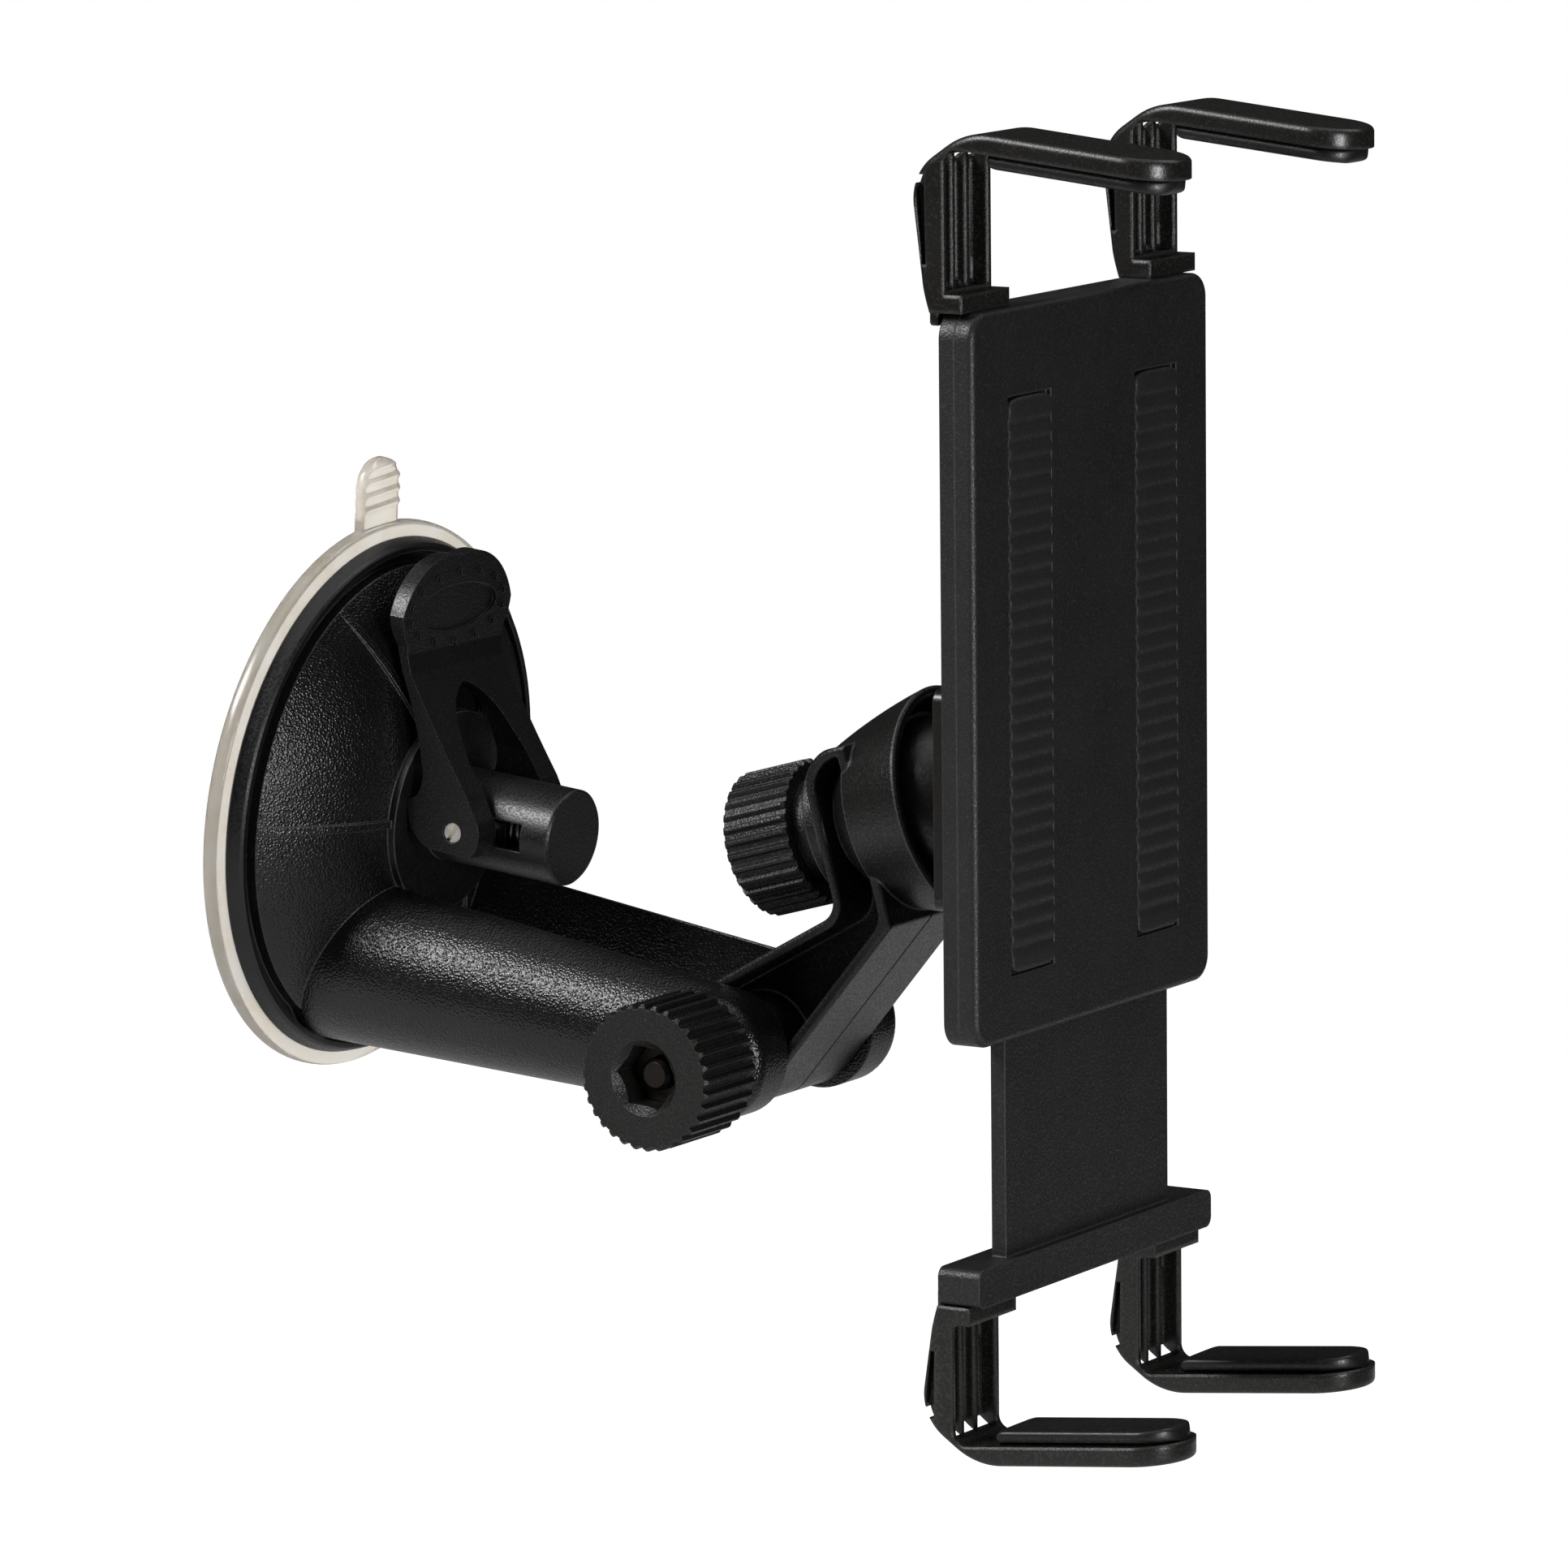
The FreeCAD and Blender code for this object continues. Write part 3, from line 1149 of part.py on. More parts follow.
def round_ended(x_from, x_to, half, height):
    """Upright prism whose far end is half round, to trim an arm's plan outline."""
    low = -height
    return Part.Face(closed_wire(
        (x_from, -half),
        [(x_to - half, -half), ((x_to, 0), (x_to - half, half)), (x_from, half)],
        lambda x, y: V(x, y, low),
    )).extrude(V(0, 0, 3 * height))


def claw(rise):
    """One claw above z = 0, the face of the block it plugs into."""
    start_x, tip_x, tip_top, slope = claw_arm_line(rise)
    front = CLAW_POST_FRONT
    under = CLAW_ARM_THICK
    foot_x = HOLDER_FRONT - CLAW_FOOT_INSET
    half = CLAW_WIDTH / 2
    under_at_post = rise - under - slope * (front - start_x)
    profile = rounded_slab(
        [
            (CLAW_FOOT_BACK, SEAT_GAP, 0.0),
            (foot_x, SEAT_GAP, 0.0),
            (foot_x, CLAW_FOOT, 0.0),
            (front, CLAW_FOOT, 0.0),
            (front, under_at_post, CLAW_INNER_ROUND),
            (tip_x, tip_top - under, 0.0),
            (tip_x, tip_top, 0.0),
            (start_x, rise, CLAW_SHOULDER_ROUND),
            (CLAW_BACK, rise - CLAW_SHOULDER_DROP, CLAW_BACK_ROUND),
            (CLAW_BACK + CLAW_LEAN, CLAW_BACK_BEND, 0.0),
        ],
        -half,
        half,
    )
    body = profile.common(round_ended(CLAW_BACK - 1, tip_x, half, 2 * rise))
    skin_low = tip_top - 0.1

    def on_top(p):
        line = rise - (p.x - start_x) * slope
        return p.z > skin_low and p.z > line - 0.1 and p.x > start_x - CLAW_SHOULDER / 2

    skin = [e for e in edges_at(body, on_top) if abs(e.CenterOfMass.y) > half / 2]
    body = body.makeFillet(CLAW_EDGE, skin)

    # open front of the post with two thin ribs, and the long slot down each side
    recess_low = CLAW_FOOT + 0.4
    deep = front - CLAW_RECESS_DEPTH
    wall = CLAW_RECESS_HALF
    recess = box(deep, front + 1, -wall, wall, recess_low, under_at_post - CLAW_EDGE)
    rib_w = CLAW_RECESS_HALF / 3
    ribs = [
        box(deep, front - CLAW_RIB_SUNK, w - CLAW_RIB / 2, w + CLAW_RIB / 2, recess_low, rise)
        for w in (-rib_w, rib_w)
    ]
    slot_low = CLAW_SLOT_FOOT
    slot_high = rise - CLAW_SHOULDER_DROP
    slot_back = CLAW_BACK + CLAW_SLOT_SKIN
    slot = rounded_slab(
        [
            (slot_back + CLAW_SLOT_SLANT, slot_low, 0.0),
            (slot_back + CLAW_SLOT_SLANT + CLAW_SLOT_WIDTH / 2, slot_low, 0.0),
            (slot_back + CLAW_SLOT_WIDTH, slot_high, 0.0),
            (slot_back, slot_high, 0.0),
        ],
        half - CLAW_SLOT_DEPTH,
        half + 1,
    )
    tenon = box(
        HOLDER_BACK, HOLDER_BACK + TENON_THICK, -TENON_HALF, TENON_HALF, -TENON_DEPTH, CLAW_FOOT / 2
    )
    hook_x = HOLDER_BACK - END_BLOCK_STEP - SEAT_GAP
    hook = rounded_slab(
        [
            (hook_x - CLAW_HOOK_THICK, -CLAW_HOOK_DROP, 0.4),
            (hook_x, -CLAW_HOOK_DROP, 0.0),
            (hook_x, CLAW_HOOK_RISE, 0.0),
            (hook_x - CLAW_HOOK_THICK, CLAW_HOOK_RISE, 0.4),
        ],
        -CLAW_HOOK_HALF,
        CLAW_HOOK_HALF,
    )
    return body.cut([recess.cut(ribs), slot, mirrored_y(slot)]).fuse([tenon, hook]).removeSplitter()


def claw_pad(rise):
    """Soft strip under one claw's arm, rounded off like the arm's tip."""
    start_x, tip_x, _, slope = claw_arm_line(rise)

    def under(x):
        return rise - CLAW_ARM_THICK - SEAT_GAP - (x - start_x) * slope

    x0 = CLAW_PAD_START
    x1 = tip_x - CLAW_PAD_INSET
    strip = rounded_slab(
        [
            (x0, under(x0), 0.0),
            (x0 + 1.2, under(x0 + 1.2) - CLAW_PAD_THICK, 0.8),
            (x1, under(x1) - CLAW_PAD_THICK, 0.0),
            (x1, under(x1), 0.0),
        ],
        -CLAW_PAD_HALF,
        CLAW_PAD_HALF,
    )
    return strip.common(round_ended(x0 - 1, x1, CLAW_PAD_HALF, 2 * rise))


def place_claw(shape, side, z_face, sign):
    """Set a claw or its pad at one side of a block, upright or hanging."""
    placed = shape.copy()
    if sign < 0:
        placed = placed.mirror(ORIGIN, Z_AXIS)
    placed.translate(V(0, side * CLAW_W, z_face))
    return pitched(placed, HOLDER_PITCH)


# ---------------------------------------------------------------- all pieces
def build_nodes():
    """Every piece by its node name."""
    elbow_bolt_end = ELBOW_KNOB_AT + ELBOW_KNOB_LENGTH - BOLT_END_BELOW
    nodes = {
        "suction_pad": suction_pad(),
        "cup_housing": cup_housing(),
        "pad_stud": pad_stud(),
        "lever_pin": lever_pin(),
        "cam_lever": cam_lever(),
        "plunger_spring": plunger_spring(),
        "elbow_bolt": on_elbow(bolt(BOLT_HEAD_SUNK - KNUCKLE_OUTER, elbow_bolt_end)),
        "elbow_washer": on_elbow(washer().translated(V(KNUCKLE_OUTER, 0, 0))),
        "elbow_knob": on_elbow(
            knob(ELBOW_KNOB_LENGTH, ELBOW_COLLAR).translated(V(ELBOW_KNOB_AT, 0, 0))
        ),
        "elbow_nut": on_elbow(nut(ELBOW_KNOB_LENGTH).translated(V(ELBOW_KNOB_AT, 0, 0))),
        "arm_link": arm_link(),
        "head_washer": rearward(washer(), SEAT_BACK),
        "head_bolt": head_bolt(),
        "clamp_dome": clamp_dome(),
        "head_knob": rearward(knob(HEAD_KNOB_LENGTH, HEAD_COLLAR), SEAT_BACK - KNOB_GAP),
        "head_nut": rearward(nut(HEAD_KNOB_LENGTH), SEAT_BACK - KNOB_GAP),
        "friction_cup": friction_cup(),
        "friction_disc": friction_disc(),
        "swivel_ball": swivel_ball(),
        "adapter_plate": adapter_plate(),
        "adapter_screws": adapter_screws(),
        "holder_back": holder_back(),
        "holder_front": holder_front(),
        "cover_screws": cover_screws(),
        "rest_pads": rest_pads(),
        "jaw_springs": jaw_springs(),
        "jaw_slide": jaw_slide(),
    }
    for level, rise, face, sign in (
        ("upper", CLAW_RISE_UPPER, HOLDER_HIGH, 1),
        ("lower", CLAW_RISE_LOWER, JAW_LOW, -1),
    ):
        for name, side in (("left", -1), ("right", 1)):
            nodes[f"{level}_claw_{name}"] = place_claw(claw(rise), side, face, sign)
            nodes[f"{level}_claw_pad_{name}"] = place_claw(claw_pad(rise), side, face, sign)
    return nodes


def main():
    os.makedirs("parts", exist_ok=True)
    for name, shape in build_nodes().items():
        solids = shape.Solids
        print(
            f"{name}: {len(solids)} solid(s), valid {shape.isValid()}, "
            f"volume {sum(s.Volume for s in solids):.1f} mm3"
        )
        whole = solids[0] if len(solids) == 1 else Part.makeCompound(solids)
        whole.exportStep(f"parts/{name}.step")


main()
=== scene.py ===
# %% [markdown]
# # A windscreen phone mount, finished in Blender
# The construction comes packed from the CAD model: every plastic, steel and rubber piece at its
# real size, riding on the body it moves with.  This lesson dresses those pieces.  It makes the
# soft parts again as soft forms, gives each surface its moulded grain and sets a plain studio.
# All places come from the loaded frame, so nothing here moves or resizes a piece.

import json
import math

import bmesh
import bpy
from mathutils import Matrix, Vector


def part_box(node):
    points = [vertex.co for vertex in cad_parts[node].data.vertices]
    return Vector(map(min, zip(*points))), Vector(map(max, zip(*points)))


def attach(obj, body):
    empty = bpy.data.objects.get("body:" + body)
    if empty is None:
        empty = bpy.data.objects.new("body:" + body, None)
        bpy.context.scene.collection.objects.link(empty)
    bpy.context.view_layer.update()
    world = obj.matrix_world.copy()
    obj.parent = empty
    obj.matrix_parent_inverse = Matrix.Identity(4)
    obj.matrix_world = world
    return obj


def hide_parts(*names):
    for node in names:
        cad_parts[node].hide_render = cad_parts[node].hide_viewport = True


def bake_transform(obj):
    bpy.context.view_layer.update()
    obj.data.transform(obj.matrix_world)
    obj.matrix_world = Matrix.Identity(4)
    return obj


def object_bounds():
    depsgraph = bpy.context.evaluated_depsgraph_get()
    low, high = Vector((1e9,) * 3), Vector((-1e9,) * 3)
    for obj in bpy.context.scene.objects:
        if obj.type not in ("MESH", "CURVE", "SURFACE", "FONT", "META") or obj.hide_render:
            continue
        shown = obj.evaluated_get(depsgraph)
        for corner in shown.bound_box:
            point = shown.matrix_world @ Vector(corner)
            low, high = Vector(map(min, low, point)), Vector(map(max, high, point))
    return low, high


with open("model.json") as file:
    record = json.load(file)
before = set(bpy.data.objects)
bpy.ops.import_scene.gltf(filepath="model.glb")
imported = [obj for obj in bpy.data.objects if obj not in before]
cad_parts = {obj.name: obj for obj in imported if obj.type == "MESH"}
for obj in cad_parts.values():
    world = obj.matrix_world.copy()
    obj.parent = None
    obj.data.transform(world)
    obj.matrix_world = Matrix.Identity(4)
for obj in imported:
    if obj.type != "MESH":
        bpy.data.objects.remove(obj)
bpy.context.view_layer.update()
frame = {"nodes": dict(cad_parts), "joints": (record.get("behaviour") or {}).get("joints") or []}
MM = 0.001

# %% [markdown]
# The joints of the record say where the ball's centre is and which way the holder faces.  Those
# numbers could be typed in, but read from the joints they stay tied to the real construction.
# The holder leans back a little, so its pieces are measured in a frame of its own, with `out`
# away from its face, `side` across it and `up` along it.

# %% Working centres from the joints
joints = {joint["name"]: joint for joint in frame["joints"]}
ball = Vector(joints["ball_spin"]["pos_m"])
out = Vector(joints["ball_spin"]["axis"]).normalized()
up = Vector(joints["ball_pan"]["axis"]).normalized()
side = up.cross(out)
holder_frame = Matrix((out, side, up)).transposed().to_4x4()
holder_frame.translation = ball
into_holder = holder_frame.inverted()
print(f"ball centre {tuple(round(v / MM, 1) for v in ball)} mm")


def holder_points(node):
    """A node's vertices in the holder's frame."""
    return [into_holder @ vertex.co for vertex in frame["nodes"][node].data.vertices]


# %% [markdown]
# ## Shader helpers
# Every finish below is a small node tree.  Writing each tree out in full would repeat the same
# few moves, so four helpers make a node with its inputs set, a colour ramp from a list of stops,
# a sum on two values, and an empty material that already has its shader and its texture
# coordinates.

# %% Nodes, ramps and an empty material
def add_node(tree, kind, **inputs):
    """Add a shader node and set the inputs given by name."""
    node = tree.nodes.new(kind)
    for name, value in inputs.items():
        node.inputs[name.replace("_", " ")].default_value = value
    return node


def ramp(tree, factor, stops):
    """Colour ramp over (position, grey or colour) stops."""
    node = tree.nodes.new("ShaderNodeValToRGB")
    elements = node.color_ramp.elements
    while len(elements) < len(stops):
        elements.new(0.5)
    for element, (position, colour) in zip(elements, stops):
        element.position = position
        if not isinstance(colour, tuple):
            colour = (colour, colour, colour)
        element.color = (*colour, 1.0)
    tree.links.new(factor, node.inputs["Fac"])
    return node.outputs["Color"]


def math_node(tree, operation, first, second):
    """Math node over two sockets or numbers."""
    node = tree.nodes.new("ShaderNodeMath")
    node.operation = operation
    for socket, value in zip(node.inputs, (first, second)):
        if isinstance(value, (int, float)):
            socket.default_value = value
        else:
            tree.links.new(value, socket)
    return node.outputs["Value"]


def new_material(name):
    """Empty node material with one Principled shader."""
    material = bpy.data.materials.new(name)
    material.use_nodes = True
    tree = material.node_tree
    tree.nodes.clear()
    shader = tree.nodes.new("ShaderNodeBsdfPrincipled")
    output = tree.nodes.new("ShaderNodeOutputMaterial")
    tree.links.new(shader.outputs["BSDF"], output.inputs["Surface"])
    where = tree.nodes.new("ShaderNodeTexCoord").outputs["Object"]
    return material, tree, shader, where


# %% [markdown]
# ## Moulded edges
# No moulded edge is truly sharp: the mould's corner is rounded by a few tenths of a millimetre,
# and that round is what catches the light.  The edges could be bevelled in the mesh, but the
# frame's meshes stay as they are.  A Bevel node rounds them in the shading instead, and the
# difference between its normal and the true one marks where an edge runs.  That mask is later
# used to paint the edges paler, a painted highlight that also stands for wear from handling.

# %% Rounded normals and an edge mask
EDGE_SAMPLES = 6
EDGE_WHITE, EDGE_BLACK = 0.78, 0.985  # how far the two normals agree, as a cosine


def round_edges(tree, radius_mm):
    """Normal rounded over the edges, and a mask that is white along them."""
    rounded = add_node(tree, "ShaderNodeBevel", Radius=radius_mm * MM)
    rounded.samples = EDGE_SAMPLES
    true_normal = tree.nodes.new("ShaderNodeNewGeometry").outputs["Normal"]
    compare = tree.nodes.new("ShaderNodeVectorMath")
    compare.operation = "DOT_PRODUCT"
    tree.links.new(rounded.outputs["Normal"], compare.inputs[0])
    tree.links.new(true_normal, compare.inputs[1])
    mask = ramp(tree, compare.outputs["Value"], [(EDGE_WHITE, 1.0), (EDGE_BLACK, 0.0)])
    return rounded.outputs["Normal"], mask


# %% [markdown]
# Two more moves come back in every finish.  A bump tilts the normal by a height texture, as an
# etched surface does, and it can lie over an earlier normal such as the rounded one.  A blend
# mixes two colours by a mask, which puts two finishes in one material.

# %% Bumps and blended colours
def bump(tree, shader, height, depth_mm, under=None):
    """Raise a surface by a height texture, over an earlier normal where one is given."""
    node = add_node(tree, "ShaderNodeBump", Strength=1.0, Distance=depth_mm * MM)
    tree.links.new(height, node.inputs["Height"])
    if under is not None:
        tree.links.new(under, node.inputs["Normal"])
    tree.links.new(node.outputs["Normal"], shader.inputs["Normal"])
    return node.outputs["Normal"]


def blend_colours(tree, factor, first, second):
    """Mix two colours, each a socket or a colour, by a socket."""
    node = tree.nodes.new("ShaderNodeMix")
    node.data_type = "RGBA"
    tree.links.new(factor, node.inputs["Factor"])
    for socket, value in ((node.inputs["A"], first), (node.inputs["B"], second)):
        if isinstance(value, tuple):
            socket.default_value = (*value, 1.0)
        else:
            tree.links.new(value, socket)
    return node.outputs["Result"]


# %% [markdown]
# ## Grain
# Moulded plastic is hardly ever one flat colour.  The steel mould is etched, so the surface is a
# field of tiny bumps that break the reflections up, and pigment and handling make some patches a
# little lighter.  An image could show that, but it would need mapping on every piece.  A
# procedural texture in object coordinates wraps every form at its true size: noise for clouds
# and fine grain, and smoothed cells for a coarse leather grain.

# %% Clouds and pebbles
CLOUD_ROUGHNESS = 0.6
PEBBLE_MELT = 0.3
PEBBLE_TOP, PEBBLE_FOOT = 0.05, 0.7


def cloudy(tree, where, size_mm, detail=3.0):
    """Soft uneven patches of about a given size."""
    noise = add_node(
        tree, "ShaderNodeTexNoise",
        Scale=1 / (size_mm * MM), Detail=detail, Roughness=CLOUD_ROUGHNESS,
    )
    tree.links.new(where, noise.inputs["Vector"])
    return noise.outputs["Fac"]


def pebbled(tree, where, size_mm):
    """Raised pebbles of about a given size, as an etched leather grain has."""
    cells = add_node(tree, "ShaderNodeTexVoronoi", Scale=1 / (size_mm * MM))
    cells.feature = "SMOOTH_F1"
    cells.inputs["Smoothness"].default_value = PEBBLE_MELT
    tree.links.new(where, cells.inputs["Vector"])
    return ramp(tree, cells.outputs["Distance"], [(PEBBLE_TOP, 1.0), (PEBBLE_FOOT, 0.0)])


# %% [markdown]
# Plastics this dark are colours near zero, so two small helpers keep them readable: a grey from
# one level, and a colour made darker or lighter.  A third makes the fine line that the arm shows
# where the two halves of its mould met.  Cutting the line into the mesh would change a CAD
# piece, so it is a mask on the plane in the middle.

# %% Greys, shades and a mould line
SEAM_HALF = 0.3


def grey(level):
    """A grey as a colour."""
    return (level, level, level)


def scaled(colour, share):
    """A colour made darker or lighter."""
    return tuple(part * share for part in colour)


def seam_line(tree, where):
    """Mask that is white on the plane in the middle and fades out to its sides."""
    parts = tree.nodes.new("ShaderNodeSeparateXYZ")
    tree.links.new(where, parts.inputs["Vector"])
    off_middle = math_node(tree, "ABSOLUTE", parts.outputs["Y"], 0.0)
    distance = math_node(tree, "DIVIDE", off_middle, SEAM_HALF * MM)
    return ramp(tree, distance, [(0.0, 1.0), (1.0, 0.0)])


# %% [markdown]
# ## Grained plastics
# Each plastic of the mount is the same stuff from another mould.  A material written out for
# each would repeat the same tree, so one helper makes them all, and only the colour, the grain's
# size and depth and the gloss change.  Hands polish the peaks of the grain, so the peaks are
# lighter and glossier than the hollows.  The edges are painted paler in patches, a painted
# highlight that also stands for wear.

# %% A helper that builds a grained plastic
CLOUD_SIZE = 9
CLOUD_STOPS = (0.3, 0.7)
CLOUD_DARKER, CLOUD_LIGHTER = 0.75, 1.25
PEAK_STOPS = (0.5, 0.66)
PEAK_LIGHTER = 3.0
GLOSS_STOPS = (0.38, 0.62)
SHEEN_AND_WEAR_SIZE = 0.35
SEAM_DEPTH = 2.0
SEAM_GREY = 0.001
SEAM_DULL = 0.95


def grained_plastic(
    name, colour, grain_mm, depth_mm, gloss, edge_mm=0.25, edge_sheen_and_wear=(0.1, 0.7), seam=False
):
    """Moulded plastic: etched grain with polished peaks, clouded colour, and edges painted paler
    as a painted highlight and wear.
    """
    material, tree, shader, where = new_material(name)
    cloud_tones = (scaled(colour, CLOUD_DARKER), scaled(colour, CLOUD_LIGHTER))
    shade = ramp(tree, cloudy(tree, where, CLOUD_SIZE), list(zip(CLOUD_STOPS, cloud_tones)))
    grain = cloudy(tree, where, grain_mm, detail=2.0)
    peaks = ramp(tree, grain, list(zip(PEAK_STOPS, (0.0, 1.0))))
    shade = blend_colours(tree, peaks, shade, scaled(colour, PEAK_LIGHTER))
    rounded, edges = round_edges(tree, edge_mm)
    # Painted highlight along the edges, which also stands for wear: the edge mask, broken into
    # patches, lightens the colour towards a pale grey.
    sheen_and_wear_grey, amount = edge_sheen_and_wear
    sheen_and_wear_mask = math_node(tree, "MULTIPLY", edges, cloudy(tree, where, SHEEN_AND_WEAR_SIZE, detail=2.0))
    sheen_and_wear_mask = math_node(tree, "MULTIPLY", sheen_and_wear_mask, amount)
    shade = blend_colours(tree, sheen_and_wear_mask, shade, grey(sheen_and_wear_grey))
    glossy, matte = gloss
    dull = ramp(tree, grain, list(zip(GLOSS_STOPS, (matte, glossy))))
    height = grain
    if seam:
        line = seam_line(tree, where)
        shade = blend_colours(tree, line, shade, grey(SEAM_GREY))
        dull = blend_colours(tree, line, dull, grey(SEAM_DULL))
        height = math_node(tree, "SUBTRACT", grain, math_node(tree, "MULTIPLY", line, SEAM_DEPTH))
    tree.links.new(shade, shader.inputs["Base Color"])
    tree.links.new(dull, shader.inputs["Roughness"])
    bump(tree, shader, height, depth_mm, rounded)
    return material


# %% [markdown]
# The lever, the knobs, the arm, the ball's neck, the holder and the claws are all black or dark
# grey plastic, but the moulds differ: the lever and holder have a fine matte grain, the arm and
# the claws a satin one, and the neck is nearly smooth.  Each gets a material of its own, which
# keeps every grain free to change.  Sizes are in millimetres, gloss is the roughness of the
# polished peaks and of the hollows, and the pair after the edge's radius is the grey painted along
# the edges, a painted highlight that also stands for wear, and how much of it shows.

# %% Each plastic of the mount
def dress(material, *nodes):
    """Put a material on CAD nodes."""
    for name in nodes:
        mesh = frame["nodes"][name].data
        mesh.materials.clear()
        mesh.materials.append(material)
    print(f"{material.name}: {', '.join(nodes)}")


lever_grey = grained_plastic(
    "lever_matte", (0.0035, 0.0035, 0.0037),
    grain_mm=0.3, depth_mm=0.06, gloss=(0.24, 0.44), edge_mm=0.12,
)
arm_black = grained_plastic(
    "arm_satin", (0.004, 0.004, 0.0037),
    grain_mm=0.34, depth_mm=0.08, gloss=(0.24, 0.42), edge_mm=0.5, edge_sheen_and_wear=(0.3, 1.0), seam=True,
)
knob_grey = grained_plastic(
    "knob_grain", (0.004, 0.004, 0.0036),
    grain_mm=0.32, depth_mm=0.12, gloss=(0.24, 0.5), edge_mm=0.15,
)
ball_black = grained_plastic(
    "ball_smooth", (0.006, 0.005, 0.0045), grain_mm=0.5, depth_mm=0.02, gloss=(0.28, 0.4)
)
holder_grey = grained_plastic(
    "holder_grain", (0.007, 0.007, 0.0074),
    grain_mm=0.34, depth_mm=0.08, gloss=(0.34, 0.55), edge_mm=0.35,
)
claw_black = grained_plastic(
    "claw_satin", (0.007, 0.0066, 0.006),
    grain_mm=0.34, depth_mm=0.022, gloss=(0.22, 0.34), edge_mm=0.8, edge_sheen_and_wear=(0.09, 0.4),
)
dress(lever_grey, "cam_lever")
dress(arm_black, "arm_link")
dress(knob_grey, "elbow_knob", "head_knob")
dress(ball_black, "swivel_ball", "adapter_plate", "pad_stud")
dress(holder_grey, "holder_back", "holder_front", "jaw_slide")
claws = [f"{level}_claw_{hand}" for level in ("upper", "lower") for hand in ("left", "right")]
dress(claw_black, *claws)

# %% [markdown]
# The soft rubber of the claw pads and rest strips and the pressed fibre of the friction liners
# could have shaders of their own.  They have a grain and paler edges too, the same painted
# highlight that also stands for wear, only duller, so the same helper serves them.  The rubber is
# kept here for the soft pieces that come later.

# %% Rubber and friction liners
claw_rubber = grained_plastic(
    "claw_rubber", grey(0.005), grain_mm=0.4, depth_mm=0.02, gloss=(0.3, 0.45)
)
rubber = grained_plastic(
    "soft_rubber", grey(0.005), grain_mm=0.4, depth_mm=0.05, gloss=(0.5, 0.7)
)
liner = grained_plastic(
    "liner_fibre", grey(0.08), grain_mm=0.3, depth_mm=0.03, gloss=(0.7, 0.85)
)
dress(liner, "friction_cup", "friction_disc")

# %% [markdown]
# ## The cup's two grains
# The cup's dome and its fork have a coarse pebble grain that glitters.  The thin band at the rim
# with the groove inside it, the hub under the lever and the boss were left plain in the mould.
# Two materials would need the mesh split.  One material can hold both, because distances from
# the glass and from the cup's axis tell the plain places apart, and they make a mask that fades
# the pebbles out.

# %% Where the cup is plain
BAND_TOP = 4.3
BAND_INNER = 29.2
HUB_TOP = 14.0
HUB_OUTER = 12.8
BOSS_OUTER = 7.0


def plain_places(tree, where):
    """Mask that is 1 on the cup's rim band, its hub and its boss."""
    parts = tree.nodes.new("ShaderNodeSeparateXYZ")
    tree.links.new(where, parts.inputs["Vector"])
    from_glass = parts.outputs["X"]
    flat = tree.nodes.new("ShaderNodeCombineXYZ")
    tree.links.new(parts.outputs["Y"], flat.inputs["Y"])
    tree.links.new(parts.outputs["Z"], flat.inputs["Z"])
    length = tree.nodes.new("ShaderNodeVectorMath")
    length.operation = "LENGTH"
    tree.links.new(flat.outputs["Vector"], length.inputs[0])
    off_axis = length.outputs["Value"]
    far_out = math_node(tree, "GREATER_THAN", off_axis, BAND_INNER * MM)
    low_down = math_node(tree, "LESS_THAN", from_glass, BAND_TOP * MM)
    on_band = math_node(tree, "MULTIPLY", far_out, low_down)
    near_axis = math_node(tree, "LESS_THAN", off_axis, HUB_OUTER * MM)
    below_hub = math_node(tree, "LESS_THAN", from_glass, HUB_TOP * MM)
    on_hub = math_node(tree, "MULTIPLY", near_axis, below_hub)
    on_boss = math_node(tree, "LESS_THAN", off_axis, BOSS_OUTER * MM)
    return math_node(tree, "MAXIMUM", on_band, math_node(tree, "MAXIMUM", on_hub, on_boss))


# %% [markdown]
# One bump could carry one size of grain, and the dome would look printed.  The cup's plastic has
# two, one over the other: pebbles where the mask lets them show, and a fine grain all over.  The
# tops of the pebbles are glossier than the valleys, and that is what makes the dome glitter.

# %% Pebbled cup with plain places
PEBBLE_SIZE = 0.33
PEBBLE_DEPTH = 0.05
PEBBLES_LOST = 0.95
PEBBLE_GLOSS = [(0.2, 0.3), (0.8, 0.15)]
FINE_SIZE = 0.34
FINE_DEPTH = 0.035
CUP_TONES = (0.0025, 0.005)
CUP_EDGE = 0.3
CUP_SHEEN_AND_WEAR_SIZE = 0.4
CUP_SHEEN_AND_WEAR_GREY = 0.12
PLAIN_GLOSS = (0.48, 0.3)


